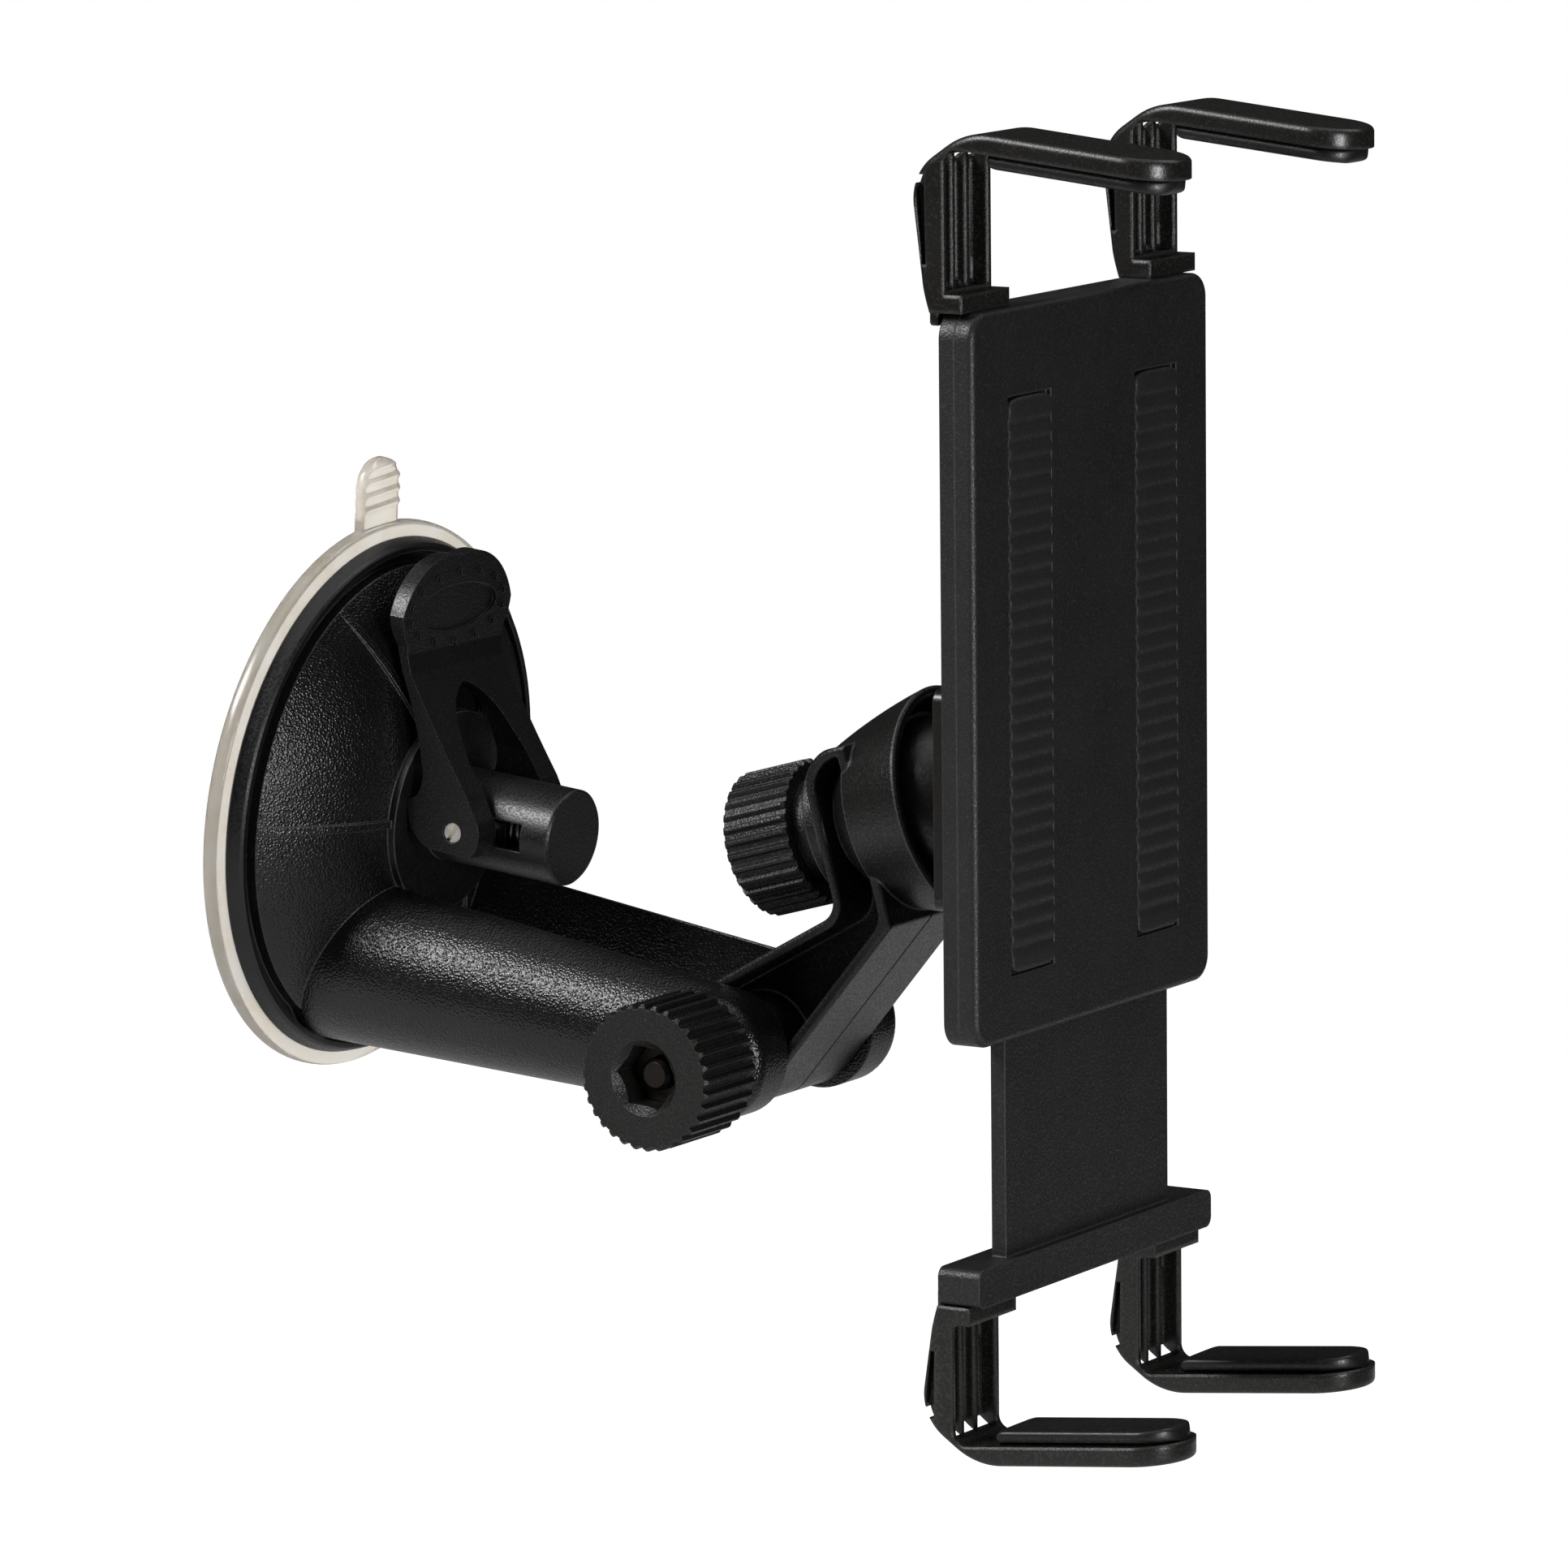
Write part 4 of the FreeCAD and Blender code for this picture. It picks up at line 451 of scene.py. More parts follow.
def cup_plastic(name):
    """Black plastic, pebbled except on the rim band, the hub and the boss."""
    material, tree, shader, where = new_material(name)
    plain = plain_places(tree, where)
    grain = math_node(tree, "SUBTRACT", 1.0, math_node(tree, "MULTIPLY", plain, PEBBLES_LOST))
    shade = ramp(tree, cloudy(tree, where, CLOUD_SIZE), list(zip(CLOUD_STOPS, CUP_TONES)))
    rounded, edges = round_edges(tree, CUP_EDGE)
    # Painted highlight along the edges, which also stands for wear: the edge mask, broken into
    # patches, lightens the colour towards a pale grey.
    patches = cloudy(tree, where, CUP_SHEEN_AND_WEAR_SIZE, detail=2.0)
    sheen_and_wear_mask = math_node(tree, "MULTIPLY", edges, patches)
    shade = blend_colours(tree, sheen_and_wear_mask, shade, grey(CUP_SHEEN_AND_WEAR_GREY))
    tree.links.new(shade, shader.inputs["Base Color"])
    pebbles = pebbled(tree, where, PEBBLE_SIZE)
    fine = cloudy(tree, where, FINE_SIZE, detail=2.0)
    glossy = ramp(tree, pebbles, PEBBLE_GLOSS)
    matte = ramp(tree, fine, list(zip(GLOSS_STOPS, PLAIN_GLOSS)))
    tree.links.new(blend_colours(tree, plain, glossy, matte), shader.inputs["Roughness"])
    height = math_node(tree, "MULTIPLY", pebbles, grain)
    coarse = bump(tree, shader, height, PEBBLE_DEPTH, rounded)
    bump(tree, shader, fine, FINE_DEPTH, coarse)
    return material


dress(cup_plastic("cup_pebbled"), "cup_housing")
print(f"pebbles {PEBBLE_SIZE} mm wide, {PEBBLE_DEPTH} mm high")

# %% [markdown]
# ## Steel
# The lever's pin is turned from bright bar, so its end shows tool marks.  The clamp bolts and
# their nuts are blackened, the washers and screws are zinc plated, and the springs are drawn
# wire.  All could share one grey metal, but each plating has its own colour and dullness, so one
# helper makes the metal with fine marks in its bump and takes those two as numbers.

# %% Turned, blackened and plated steel
MARK_STOPS = (0.3, 0.7)
MARK_DARKER = 0.8
MARK_DULLER = 0.12
MARK_DEPTH = 0.01
STEEL_EDGE = 0.15


def steel(name, colour, roughness, mark_mm):
    """Metal with fine tool marks and uneven brightness."""
    material, tree, shader, where = new_material(name)
    shader.inputs["Metallic"].default_value = 1.0
    marks = cloudy(tree, where, mark_mm, detail=4.0)
    tint = ramp(tree, marks, list(zip(MARK_STOPS, (scaled(colour, MARK_DARKER), colour))))
    tree.links.new(tint, shader.inputs["Base Color"])
    dull = ramp(tree, marks, list(zip(MARK_STOPS, (roughness, roughness + MARK_DULLER))))
    tree.links.new(dull, shader.inputs["Roughness"])
    rounded, _ = round_edges(tree, STEEL_EDGE)
    bump(tree, shader, marks, MARK_DEPTH, rounded)
    return material


pin_steel = steel("turned_pin", (0.95, 0.91, 0.83), roughness=0.45, mark_mm=1.5)
zinc = steel("zinc_plate", (0.42, 0.39, 0.35), roughness=0.38, mark_mm=0.5)
dark_bolt = steel("blackened_bolt", (0.05, 0.042, 0.036), roughness=0.35, mark_mm=0.4)
wire = steel("spring_wire", (0.45, 0.45, 0.46), roughness=0.35, mark_mm=0.3)
dress(pin_steel, "lever_pin")
dress(dark_bolt, "elbow_bolt", "elbow_nut", "head_bolt", "head_nut")
dress(zinc, "elbow_washer", "head_washer", "clamp_dome", "adapter_screws", "cover_screws")

# %% [markdown]
# ## Making soft forms
# The soft pieces are moulded vinyl and rubber.  Boxes would look like wood, so they are made
# from outlines: a rounded outline turned about an axis for the pad, and one rounded section
# carried along a line for the tab and the strips.  A mesh built point by point keeps every face
# where it is wanted and closes without a seam.

# %% From points to a smooth object
def mesh_object(name, points, faces, material):
    """Object from points in metres, faces turned outwards and shaded smooth."""
    mesh = bpy.data.meshes.new(name)
    mesh.from_pydata(points, [], faces)
    build = bmesh.new()
    build.from_mesh(mesh)
    bmesh.ops.recalc_face_normals(build, faces=build.faces)
    build.to_mesh(mesh)
    build.free()
    mesh.shade_smooth()
    mesh.materials.append(material)
    piece = bpy.data.objects.new(name, mesh)
    bpy.context.scene.collection.objects.link(piece)
    print(f"{name}: {len(mesh.polygons)} faces")
    return piece


def ring_faces(rings, count):
    """Quads between rings of points that follow each other in one list."""
    return [
        (i * count + k, i * count + (k + 1) % count, (i + 1) * count + (k + 1) % count,
         (i + 1) * count + k)
        for i in range(rings - 1)
        for k in range(count)
    ]


def soften(corners, steps=4):
    """Round the corners of an open outline; each is (x, y, how far the round reaches)."""
    places = [Vector(corner[:2]) for corner in corners]
    outline = [places[0]]
    for before, here, after, corner in zip(places, places[1:], places[2:], corners[1:]):
        first = here + (before - here).normalized() * corner[2]
        last = here + (after - here).normalized() * corner[2]
        for k in range(steps + 1):
            t = k / steps
            outline.append(first.lerp(here, t).lerp(here.lerp(last, t), t))
    return outline + [places[-1]]


# %% [markdown]
# ## The clear pad
# The suction pad is one moulding of clear vinyl: a flat sealing ring, a thin flexing middle that
# the stud draws up, and a tab to peel it off by.  The CAD solid has its measures and no
# softness.  Here its section is a rounded outline turned about the cup's axis.  The sealing face
# gets three shallow grooves, as such pads often have, and the boss a pocket for the stud.

# %% Section of the pad
pad_low, pad_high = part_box("suction_pad")
stud_low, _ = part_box("pad_stud")
pad_radius = -pad_low.y / MM
boss_top = pad_high.x / MM
flange_low = stud_low.x / MM
RIM_THICK = 1.97
SEAL_WIDTH = 11.0
BOSS_RADIUS = 9.0
BOSS_FOOT = 1.6
FLANGE_RADIUS = 7.55
FLANGE_THICK = 1.3
FLANGE_PLAY = 0.05
THROAT_RADIUS = 3.55
FLOOR_DROP = 0.6
FLOOR_THICK = 1.2
MIDDLE_IN = 5
MIDDLE_LOW, MIDDLE_HIGH = 1.2, 2.4
SEAL_GROOVES = 3
GROOVE_FIRST = 2.2
GROOVE_PITCH = 2.4
GROOVE_HALF = 0.5
GROOVE_DEEP = 0.15


def pad_section():
    """Outline of the pad's section as (distance from the glass, radius, rounding), in mm."""
    seal_inner = pad_radius - SEAL_WIDTH
    floor = flange_low - FLOOR_DROP
    throat_top = flange_low + FLANGE_THICK
    pocket = flange_low - FLANGE_PLAY
    grooves = []
    for i in range(SEAL_GROOVES):
        r = seal_inner + GROOVE_FIRST + GROOVE_PITCH * i
        grooves += [(0, r - GROOVE_HALF, 0.2), (GROOVE_DEEP, r, 0.2), (0, r + GROOVE_HALF, 0.2)]
    glass_side = [
        (floor, 0, 0), (floor, FLANGE_RADIUS, 0.8),
        (MIDDLE_LOW, seal_inner - MIDDLE_IN, 2.0), (0, seal_inner, 0.6), *grooves,
    ]
    rim = [
        (0, pad_radius - 0.1, 0.5), (RIM_THICK / 2, pad_radius, 0.4),
        (RIM_THICK, pad_radius - 0.2, 0.5),
    ]
    cup_side = [
        (RIM_THICK, seal_inner + 1.5, 1.5), (MIDDLE_HIGH, seal_inner - MIDDLE_IN, 2.0),
        (floor + FLOOR_THICK, BOSS_RADIUS + BOSS_FOOT, 0.8), (boss_top, BOSS_RADIUS, 0.6),
    ]
    stud_pocket = [
        (boss_top, THROAT_RADIUS, 0.3), (throat_top, THROAT_RADIUS, 0.1),
        (throat_top, FLANGE_RADIUS, 0.2), (pocket, FLANGE_RADIUS, 0.2), (pocket, 0, 0),
    ]
    return glass_side + rim + cup_side + stud_pocket


print(f"pad {2 * pad_radius:.1f} mm across, boss {boss_top:.1f} mm high")

# %% [markdown]
# The pad is round, so its whole form is this one outline turned about the cup's axis.  A Screw
# modifier would do the same.  Setting the rings of points one by one closes the two ends in a
# single point on the axis, with no doubled vertices to merge.

# %% Turn a section about the cup's axis
PAD_SIDES = 128


def turned(outline, sides):
    """Points and faces of an outline turned about the x axis; both its ends lie on the axis."""
    rim = outline[1:-1]
    points = [Vector((x, 0, 0)) * MM for x in (outline[0].x, outline[-1].x)]
    for place in rim:
        for k in range(sides):
            angle = 2 * math.pi * k / sides
            y, z = place.y * math.cos(angle), place.y * math.sin(angle)
            points.append(Vector((place.x, y, z)) * MM)
    faces = [tuple(i + 2 for i in face) for face in ring_faces(len(rim), sides)]
    last = 2 + (len(rim) - 1) * sides
    for k in range(sides):
        after = (k + 1) % sides
        faces.append((0, 2 + k, 2 + after))
        faces.append((1, last + after, last + k))
    return points, faces


# %% [markdown]
# ## The pull tab and the rubber strips
# The tab, the claw pads and the strips on the holder's face are all flat bars of soft material
# with rounded edges; the tab and the rest strips have ribs to grip as well.  Cubes with a bevel
# would look stiff.  One helper makes them all instead: a rounded section, wider than it is thick,
# is carried along a line, while functions of the place along it give its half width, its back
# and its front.  Both ends are drawn in to close.

# %% One section carried along a line
SECTION_POINTS = 32
SQUARENESS = 5.0
LEAST_SHARE = 0.04
RIB_SHARPNESS = 1.5


def strip_points(place, length, half_width, back, front, rings):
    """Points and faces of a strip along y of a place matrix, its front towards z, in mm."""
    points = []
    for i in range(rings):
        along = length * i / (rings - 1)
        half, low, high = half_width(along), back(along), front(along)
        for k in range(SECTION_POINTS):
            angle = 2 * math.pi * k / SECTION_POINTS
            c, s = math.cos(angle), math.sin(angle)
            across = math.copysign(abs(c) ** (2 / SQUARENESS), c)
            thick = math.copysign(abs(s) ** (2 / SQUARENESS), s)
            height = low + (high - low) * (thick + 1) / 2
            points.append(place @ (Vector((half * across, along, height)) * MM))
    faces = ring_faces(rings, SECTION_POINTS)
    faces.append(tuple(range(SECTION_POINTS)))
    faces.append(tuple((rings - 1) * SECTION_POINTS + k for k in range(SECTION_POINTS)))
    return points, faces


def drawn_in(along, length, start, end):
    """Share of full size at a place: rises over the start's length, falls over the end's."""
    share = 1.0
    for distance, reach in ((along, start), (length - along, end)):
        if distance < reach:
            share *= math.sqrt(max(0.0, 1 - (1 - distance / reach) ** 2))
    return max(share, LEAST_SHARE)


def rib(along, pitch, first, last):
    """Height of the grip ribs, from 0 to 1, between two places."""
    if not first <= along <= last:
        return 0.0
    return (0.5 - 0.5 * math.cos(2 * math.pi * (along - first) / pitch)) ** RIB_SHARPNESS


# %% [markdown]
# The vinyl is clear but not like glass: it is slightly milky and cream, and its skin is uneven.
# A glass shader would be too clean, so the transmission is left a little short of full, and the
# same cloud tints the colour, dulls the gloss and ripples the skin.

# %% Clear vinyl
VINYL_CLOUD = 6
VINYL_TINTS = [(0.35, (0.86, 0.79, 0.68)), (0.65, (0.98, 0.95, 0.90))]
VINYL_GLOSS = [(0.3, 0.12), (0.7, 0.24)]
VINYL_CLEAR = 0.82
VINYL_IOR = 1.42
VINYL_RIPPLE = 0.03


def clear_vinyl(name):
    """Clear soft vinyl, slightly milky and cream, with an uneven skin."""
    material, tree, shader, where = new_material(name)
    cloud = cloudy(tree, where, VINYL_CLOUD)
    tree.links.new(ramp(tree, cloud, VINYL_TINTS), shader.inputs["Base Color"])
    tree.links.new(ramp(tree, cloud, VINYL_GLOSS), shader.inputs["Roughness"])
    shader.inputs["Transmission Weight"].default_value = VINYL_CLEAR
    shader.inputs["IOR"].default_value = VINYL_IOR
    bump(tree, shader, cloud, VINYL_RIPPLE)
    return material


vinyl = clear_vinyl("clear_vinyl")
print(f"{vinyl.name}: transmission {VINYL_CLEAR}, index of refraction {VINYL_IOR}")

# %% [markdown]
# The tab leans a few degrees off the top, and it has four ribs at its root where the fingers
# pull.  It could be drawn out of the pad's rim, but turning gives a rim that is the same all
# round.  It is made as a strip of its own whose root is sunk into the sealing ring.

# %% The pull tab
TAB_HALF = 4.0
TAB_THICK = 1.9
TAB_OFF_GLASS = 0.15
TAB_SUNK = 3.0
TAB_OVER = 0.1
TAB_LEAN = math.radians(5.0)
TAB_RIB_PITCH = 1.7
TAB_RIB_HIGH = 0.35
TAB_RIBS = 4
TAB_RIB_START = 1.6
TAB_ROOT_ROUND, TAB_TIP_ROUND, TAB_EDGE_ROUND = 0.5, 3.6, 1.0
TAB_EDGE_DEEP = 0.5
TAB_RINGS = 120

tab_foot = pad_radius - TAB_SUNK
tab_length = pad_high.z / MM + TAB_OVER - tab_foot
ribs_from = TAB_SUNK + TAB_RIB_START
ribs_to = ribs_from + TAB_RIBS * TAB_RIB_PITCH
tab_place = Matrix.Rotation(TAB_LEAN, 4, "X") @ Matrix(
    ((0, 0, 1, 0), (-1, 0, 0, 0), (0, 1, 0, tab_foot * MM), (0, 0, 0, 1))
)


def tab_half(along):
    """Half width of the tab, round at the tip."""
    return TAB_HALF * drawn_in(along, tab_length, TAB_ROOT_ROUND, TAB_TIP_ROUND)


def tab_edge(along):
    """How far the tab's faces are drawn in at its ends."""
    return TAB_EDGE_DEEP * (1 - drawn_in(along, tab_length, TAB_ROOT_ROUND, TAB_EDGE_ROUND))


def tab_front(along):
    """Ribbed front of the tab."""
    ribs = TAB_RIB_HIGH * rib(along, TAB_RIB_PITCH, ribs_from, ribs_to)
    return TAB_THICK - TAB_OFF_GLASS + ribs - tab_edge(along)


tab = mesh_object("pull_tab", *strip_points(
    tab_place,
    tab_length,
    tab_half,
    lambda along: TAB_OFF_GLASS + tab_edge(along),
    tab_front,
    TAB_RINGS,
), vinyl)

# %% [markdown]
# Pad and tab are one moulding, and in a clear material a hidden wall between the two would show.
# Joining the objects would keep that wall.  A Boolean union takes it away and leaves one skin.

# %% Pad and tab, joined
pad = mesh_object("clear_pad", *turned(soften(pad_section()), PAD_SIDES), vinyl)
union = pad.modifiers.new("tab", "BOOLEAN")
union.operation = "UNION"
union.solver = "MANIFOLD"
union.object = tab
bpy.context.view_layer.update()
joined = bpy.data.meshes.new_from_object(pad.evaluated_get(bpy.context.evaluated_depsgraph_get()))
pad.modifiers.clear()
pad.data = joined
bpy.data.objects.remove(tab)
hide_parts("suction_pad")
print(f"pad and tab: {len(joined.polygons)} faces")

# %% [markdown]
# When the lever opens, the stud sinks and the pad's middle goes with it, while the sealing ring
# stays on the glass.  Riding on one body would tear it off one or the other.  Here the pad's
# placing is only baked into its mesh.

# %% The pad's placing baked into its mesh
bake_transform(pad)

# %% [markdown]
# ## Claw pads
# Each claw grips the phone with a smooth rubber strip, round at the tip like the claw itself.
# The CAD strip has sharp edges, and a bevel would not reach its round tip.  So its line is read
# from it, the root and the tip of the face that lies on the claw and the side that looks at the
# phone, and a softly rounded strip is made on that line.

# %% Four claw pads
CLAW_PAD_HALF = 4.5
CLAW_PAD_RINGS = 100
CLAW_ROOT_ROUND = 0.8
CLAW_FRONT_ROUND = (1.6, 1.2)
SAME_PLACE = 0.02


def claw_pad(node):
    """Rubber strip on the line of a CAD claw pad."""
    points = holder_points(node)
    tip_x = max(p.x for p in points)
    tips = [p for p in points if p.x > tip_x - SAME_PLACE * MM]
    root = min(points, key=lambda p: p.x)
    tip = max(tips, key=lambda p: abs(p.z))
    thick = abs(tip.z - min(tips, key=lambda p: abs(p.z)).z) / MM
    middle = (min(p.y for p in points) + max(p.y for p in points)) / 2
    root = Vector((root.x, middle, root.z))
    tip = Vector((tip.x, middle, tip.z))
    along = (tip - root).normalized()
    across = Vector((0, math.copysign(1.0, tip.z), 0))
    turn = Matrix((across, along, across.cross(along))).transposed().to_4x4()
    length = (tip - root).length / MM
    return mesh_object(node + "_soft", *strip_points(
        holder_frame @ Matrix.Translation(root) @ turn,
        length,
        lambda v: CLAW_PAD_HALF * drawn_in(v, length, CLAW_ROOT_ROUND, CLAW_PAD_HALF),
        lambda v: 0.0,
        lambda v: thick * drawn_in(v, length, *CLAW_FRONT_ROUND),
        CLAW_PAD_RINGS,
    ), claw_rubber)


for claw in claws:
    node = claw.replace("claw", "claw_pad")
    strip = claw_pad(node)
    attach(strip, "holder" if claw.startswith("upper") else "jaw")
    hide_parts(node)

# %% [markdown]
# ## Rest strips
# The phone's back lies on two long rubber strips, let into pockets of the front shell.  One CAD
# node holds both, so both go into one object here.  Two objects could be joined at the end, but
# it is simpler to put the points and faces of each part after those of the one before.

# %% Boxes and parts
def corners_of(points):
    """Lowest and highest corner of the box round some points."""
    low = Vector([min(p[axis] for p in points) for axis in range(3)])
    high = Vector([max(p[axis] for p in points) for axis in range(3)])
    return low, high


def add_part(points, faces, more_points, more_faces):
    """Add the points and faces of one part to a mesh's lists."""
    faces += [tuple(i + len(points) for i in face) for face in more_faces]
    points += more_points


# %% [markdown]
# The strips are ribbed across, so that the phone doesn't slide.  Ribs in the bump would look
# flat from the side and would be missing from the mesh, so they are in the form: the front of
# the strip dips between them.

# %% Two rest strips in one piece
REST_RIB_PITCH = 2.2
REST_RIB_DEEP = 0.3
REST_RIB_MARGIN = 2.0
REST_END_ROUND = 1.0
REST_FRONT_ROUND = 0.8
REST_RINGS = 240


def rest_strip(points):
    """Points and faces of one ribbed strip in the box of some CAD points."""
    low, high = corners_of(points)
    length = (high.z - low.z) / MM
    half = (high.y - low.y) / 2 / MM
    thick = (high.x - low.x) / MM
    foot = Matrix.Translation((low.x, (low.y + high.y) / 2, low.z))
    turn = Matrix(((0, 0, 1, 0), (1, 0, 0, 0), (0, 1, 0, 0), (0, 0, 0, 1)))
    return strip_points(
        holder_frame @ foot @ turn,
        length,
        lambda v: half * drawn_in(v, length, REST_END_ROUND, REST_END_ROUND),
        lambda v: 0.0,
        lambda v: thick * drawn_in(v, length, REST_FRONT_ROUND, REST_FRONT_ROUND)
        - REST_RIB_DEEP * rib(v, REST_RIB_PITCH, REST_RIB_MARGIN, length - REST_RIB_MARGIN),
        REST_RINGS,
    )


rest = holder_points("rest_pads")
rest_points, rest_faces = [], []
for hand in (-1, 1):
    add_part(rest_points, rest_faces, *rest_strip([p for p in rest if p.y * hand > 0]))
strips = mesh_object("rest_strips", rest_points, rest_faces, rubber)
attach(strips, "holder")
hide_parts("rest_pads")

# %% [markdown]
# ## Springs
# Two long extension springs pull the jaw up, and a short stiff one pushes the plunger down.  A
# sleeve would do for the collision, but a spring is wire: a helix with its turns close together,
# and hooks where it hangs on a post.  A curve with a round bevel could be that wire.  Here the
# wire is a small ring of points carried along a path, which serves coils and hooks alike.

# %% A wire along a path
WIRE_SIDES = 8
STEPS_PER_TURN = 24


def wire_points(path, radius_mm):
    """Points and faces of a round wire along a path of points in metres."""
    points = []
    normal = None
    for i, here in enumerate(path):
        run = (path[min(i + 1, len(path) - 1)] - path[max(i - 1, 0)]).normalized()
        if normal is None:
            normal = run.orthogonal()
        normal = (normal - run * normal.dot(run)).normalized()
        other = run.cross(normal)
        for k in range(WIRE_SIDES):
            angle = 2 * math.pi * k / WIRE_SIDES
            offset = normal * math.cos(angle) + other * math.sin(angle)
            points.append(here + offset * radius_mm * MM)
    faces = ring_faces(len(path), WIRE_SIDES)
    faces.append(tuple(range(WIRE_SIDES)))
    faces.append(tuple((len(path) - 1) * WIRE_SIDES + k for k in range(WIRE_SIDES)))
    return points, faces


def coil_path(start, end, radius_mm, turns, flat_turns=0.0):
    """Helix from start to end whose outer turns can lie flat, as ground spring ends do."""
    axis = end - start
    first = axis.orthogonal().normalized()
    second = axis.normalized().cross(first)
    path = []
    for i in range(int(turns * STEPS_PER_TURN) + 1):
        turn = i / STEPS_PER_TURN
        share = (turn - flat_turns) / (turns - 2 * flat_turns)
        share = min(max(share, 0.0), 1.0)
        angle = 2 * math.pi * turn
        swing = first * math.cos(angle) + second * math.sin(angle)
        path.append(start + axis * share + swing * radius_mm * MM)
    return path


# %% [markdown]
# The plunger's spring sits in the boss, between the stud and the boss's closed end.  A spring
# that rides on one of them would cut into the other.  Here the coil is made where it sits at
# rest, and its placing is baked into its mesh.

# %% Plunger spring
PLUNGER_WIRE = 0.32
PLUNGER_TURNS = 5.5
PLUNGER_FLAT_TURNS = 0.6

spring_low, spring_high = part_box("plunger_spring")
coil = coil_path(
    Vector((spring_low.x + PLUNGER_WIRE * MM, 0, 0)),
    Vector((spring_high.x - PLUNGER_WIRE * MM, 0, 0)),
    (spring_high.y - spring_low.y) / 2 / MM - PLUNGER_WIRE,
    PLUNGER_TURNS,
    PLUNGER_FLAT_TURNS,
)
plunger_coil = mesh_object("plunger_coil", *wire_points(coil, PLUNGER_WIRE), wire)
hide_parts("plunger_spring")
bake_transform(plunger_coil)

# %% [markdown]
# The jaw's springs hang on posts in the back shell and hold the slide by its lugs.  Riding on the
# holder they would stay behind when the jaw opens.  Here they are made where they hang at rest,
# each with a hook round its post, and their placing is baked into their mesh.

# %% Jaw springs
JAW_WIRE = 0.2
JAW_TURNS = 32
HOOK_RADIUS = 1.15
HOOK_GAP = 0.05
HOOK_POINTS = 16
HOOK_STEP = math.radians(20)


def hook_path(head):
    """Open ring of wire over the head of a spring, round its post."""
    post = head + Vector((0, 0, (HOOK_RADIUS + HOOK_GAP) * MM))
    return [
        post + Vector((0, math.sin(angle), -math.cos(angle))) * HOOK_RADIUS * MM
        for angle in (HOOK_STEP * k for k in range(HOOK_POINTS))
    ]


jaw_springs = holder_points("jaw_springs")
jaw_points, jaw_faces = [], []
for hand in (-1, 1):
    low, high = corners_of([p for p in jaw_springs if p.y * hand > 0])
    foot = Vector(((low.x + high.x) / 2, (low.y + high.y) / 2, low.z))
    head = Vector((foot.x, foot.y, high.z))
    path = coil_path(foot, head, (high.x - low.x) / 2 / MM - JAW_WIRE, JAW_TURNS) + hook_path(head)
    add_part(jaw_points, jaw_faces, *wire_points([holder_frame @ p for p in path], JAW_WIRE))
jaw_coils = mesh_object("jaw_coils", jaw_points, jaw_faces, wire)
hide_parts("jaw_springs")
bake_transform(jaw_coils)

# %% [markdown]
# ## Studio
# The mount hangs on a windscreen, so nothing holds it up here but its suction face.  A pale
# table lies well below it and takes a faint shadow.  A big plane would do, but low mirror angles
# would then show it in the black plastic, so the table is a small disc.  Its extra white is seen
# by the camera alone and puts no light on the mount.

# %% Table
TABLE_DROP = 0.06
TABLE_RADIUS = 0.42
TABLE_GREY = 0.5
TABLE_ROUGHNESS = 0.9
TABLE_WHITE = 0.7
ROUND_SIDES = 96
WHITE = (1, 1, 1, 1)

low_corner, high_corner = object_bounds()
middle = (low_corner + high_corner) / 2


def camera_white(tree, surface, strength):
    """Add white light that only the camera sees to a surface shader."""
    rays = tree.nodes.new("ShaderNodeLightPath")
    seen = math_node(tree, "MULTIPLY", rays.outputs["Is Camera Ray"], strength)
    shine = add_node(tree, "ShaderNodeEmission", Color=WHITE)
    tree.links.new(seen, shine.inputs["Strength"])
    both = tree.nodes.new("ShaderNodeAddShader")
    tree.links.new(surface, both.inputs[0])
    tree.links.new(shine.outputs["Emission"], both.inputs[1])
    return both.outputs["Shader"]


bpy.ops.mesh.primitive_circle_add(
    vertices=ROUND_SIDES, radius=TABLE_RADIUS, fill_type="NGON",
    location=(middle.x, middle.y, low_corner.z - TABLE_DROP),
)
table = bpy.context.object
table.name = "table"
table_material, table_tree, table_shader, _ = new_material("table_white")
table_shader.inputs["Base Color"].default_value = (*grey(TABLE_GREY), 1)
table_shader.inputs["Roughness"].default_value = TABLE_ROUGHNESS
table_output = next(n for n in table_tree.nodes if n.type == "OUTPUT_MATERIAL")
table_surface = camera_white(table_tree, table_shader.outputs["BSDF"], TABLE_WHITE)
table_tree.links.new(table_surface, table_output.inputs["Surface"])
table.data.materials.append(table_material)
print(f"table {TABLE_DROP} m below the mount")

# %% [markdown]
# The world is white to the camera, in reflections and through the clear pad, and dimmer as a
# light, so that the lamps can still shape the forms.  One even white would be simpler, and it
# would wash the plastics out.

# %% World
SKY_SEEN = 1.0
SKY_LIGHT = 0.36

world = bpy.data.worlds.new("studio")
bpy.context.scene.world = world
world.use_nodes = True
world_tree = world.node_tree
world_tree.nodes.clear()
rays = world_tree.nodes.new("ShaderNodeLightPath").outputs
seen = math_node(world_tree, "MAXIMUM", rays["Is Camera Ray"], rays["Is Glossy Ray"])
seen = math_node(world_tree, "MAXIMUM", seen, rays["Is Transmission Ray"])
sky = add_node(world_tree, "ShaderNodeBackground", Color=WHITE, Strength=SKY_SEEN)
glow = add_node(world_tree, "ShaderNodeBackground", Color=WHITE, Strength=SKY_LIGHT)
blend = world_tree.nodes.new("ShaderNodeMixShader")
world_out = world_tree.nodes.new("ShaderNodeOutputWorld")
world_tree.links.new(seen, blend.inputs["Fac"])
world_tree.links.new(glow.outputs[0], blend.inputs[1])
world_tree.links.new(sky.outputs[0], blend.inputs[2])
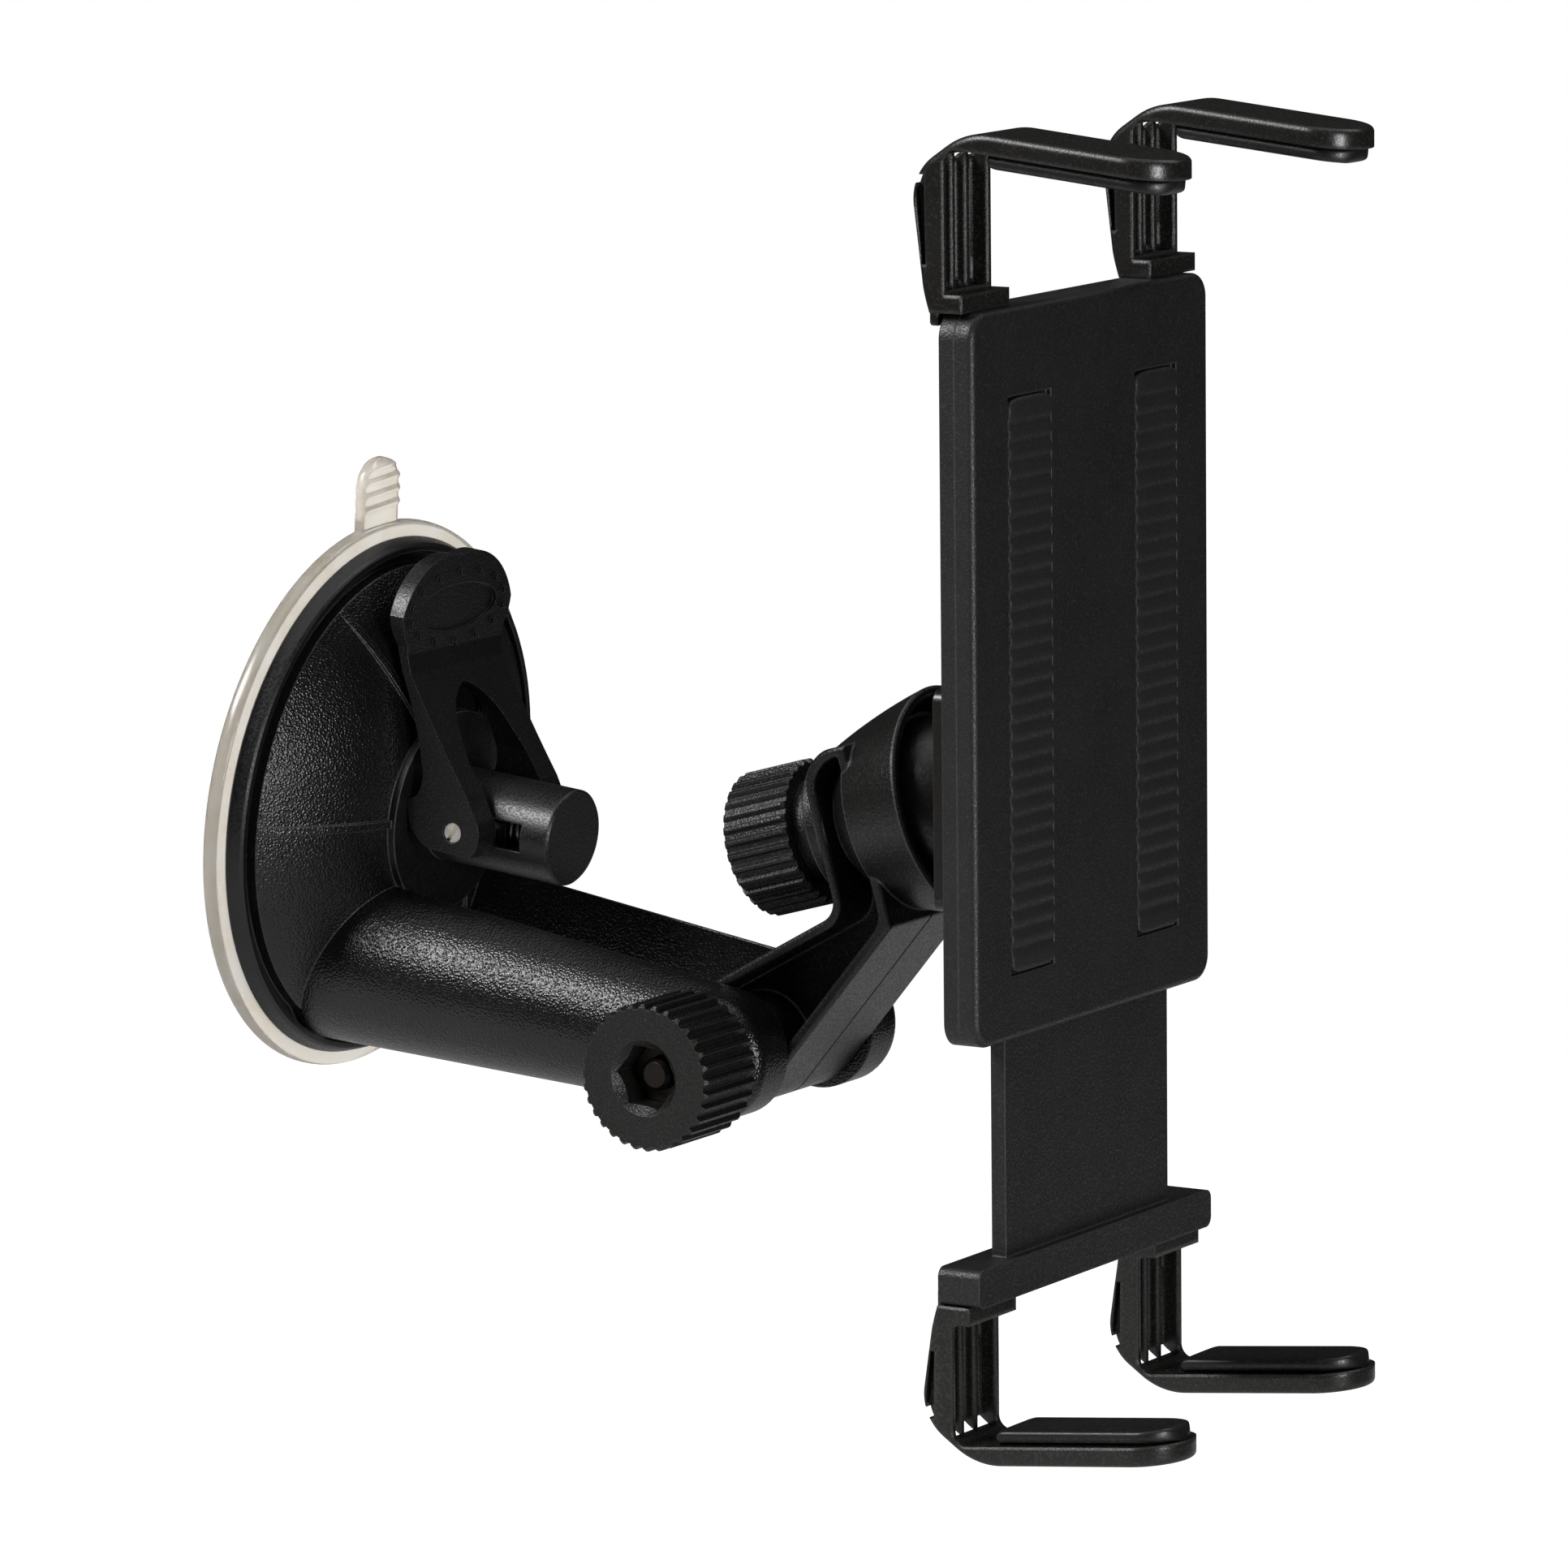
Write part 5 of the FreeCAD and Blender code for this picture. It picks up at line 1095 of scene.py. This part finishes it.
world_tree.links.new(blend.outputs[0], world_out.inputs["Surface"])
print(f"world {SKY_SEEN} where it is seen, {SKY_LIGHT} as a light")

# %% [markdown]
# A white world all round would lie on the black plastics as a grey veil.  Darker colours would
# not take it away, because it is a reflection.  A black curtain stands round the mount instead,
# as round small goods on a light table.  Only reflections see it, and it is open above and
# below, so light from overhead and from the table still draws the edges.

# %% Curtain
CURTAIN_RADIUS = 0.75
CURTAIN_TOP = 1.5
CURTAIN_FOOT = 0.6
CURTAIN_GREY = 0.02

curtain_points = []
for height in (middle.z - CURTAIN_FOOT, middle.z + CURTAIN_TOP):
    for k in range(ROUND_SIDES):
        angle = 2 * math.pi * k / ROUND_SIDES
        curtain_points.append(Vector((
            middle.x + CURTAIN_RADIUS * math.cos(angle),
            middle.y + CURTAIN_RADIUS * math.sin(angle),
            height,
        )))
curtain_material, _, curtain_shader, _ = new_material("curtain_black")
curtain_shader.inputs["Base Color"].default_value = (*grey(CURTAIN_GREY), 1)
curtain_shader.inputs["Roughness"].default_value = 1.0
curtain = mesh_object("curtain", curtain_points, ring_faces(2, ROUND_SIDES), curtain_material)
curtain.visible_camera = False
curtain.visible_transmission = False
curtain.visible_diffuse = False
curtain.visible_shadow = False

# %% [markdown]
# Three soft boxes light the mount.  The key hangs above and to the left of the viewer, a weaker
# fill stands low on the right in front of the holder, and a faint one hangs above and behind.
# Spot lamps would give hard glints.  Wide boxes give the long soft highlights on the fork and on
# the knobs.

# %% Soft lamps
def soft_lamp(name, place, width, power):
    """Square area lamp that faces the mount, in metres and watts."""
    data = bpy.data.lights.new(name, "AREA")
    data.size = width
    data.energy = power
    lamp = bpy.data.objects.new(name, data)
    bpy.context.scene.collection.objects.link(lamp)
    lamp.location = place
    lamp.rotation_euler = (Vector(place) - middle).to_track_quat("Z", "Y").to_euler()
    print(f"{name} lamp: {power} W, {width} m wide")


soft_lamp("key", place=(-0.38, -0.52, 0.5), width=0.3, power=6.5)
soft_lamp("fill", place=(0.66, -0.3, 0.09), width=0.2, power=2.2)
soft_lamp("back", place=(0.27, 0.35, 0.72), width=0.3, power=0.9)

# %% [markdown]
# ## Camera
# A long lens from well back keeps the cup and the holder in proportion, where a short one close
# by would swell the nearer of the two.  The view comes from the knob's side, a little above, and
# the camera is rolled by a few degrees, as one held in the hand is.

# %% Camera
VIEW_AZIMUTH = math.radians(-59.5)
VIEW_ELEVATION = math.radians(12.32)
VIEW_ROLL = math.radians(5.06)
VIEW_TARGET = Vector((64.2, -6.2, 13.9)) * MM
VIEW_DISTANCE = 1.12
LENS_LENGTH = 214.3
SENSOR_WIDTH = 36
NEAREST_SEEN = 0.05

toward = Vector((
    math.cos(VIEW_ELEVATION) * math.cos(VIEW_AZIMUTH),
    math.cos(VIEW_ELEVATION) * math.sin(VIEW_AZIMUTH),
    math.sin(VIEW_ELEVATION),
))
camera_data = bpy.data.cameras.new("camera")
camera_data.lens = LENS_LENGTH
camera_data.sensor_width = SENSOR_WIDTH
camera_data.clip_start = NEAREST_SEEN
camera = bpy.data.objects.new("camera", camera_data)
bpy.context.scene.collection.objects.link(camera)
camera.matrix_world = (
    Matrix.Translation(VIEW_TARGET + toward * VIEW_DISTANCE)
    @ toward.to_track_quat("Z", "Y").to_matrix().to_4x4()
    @ Matrix.Rotation(VIEW_ROLL, 4, "Z")
)
bpy.context.scene.camera = camera
bpy.context.scene.view_settings.view_transform = "Standard"
print(f"camera {VIEW_DISTANCE} m from the mount, lens {LENS_LENGTH} mm")
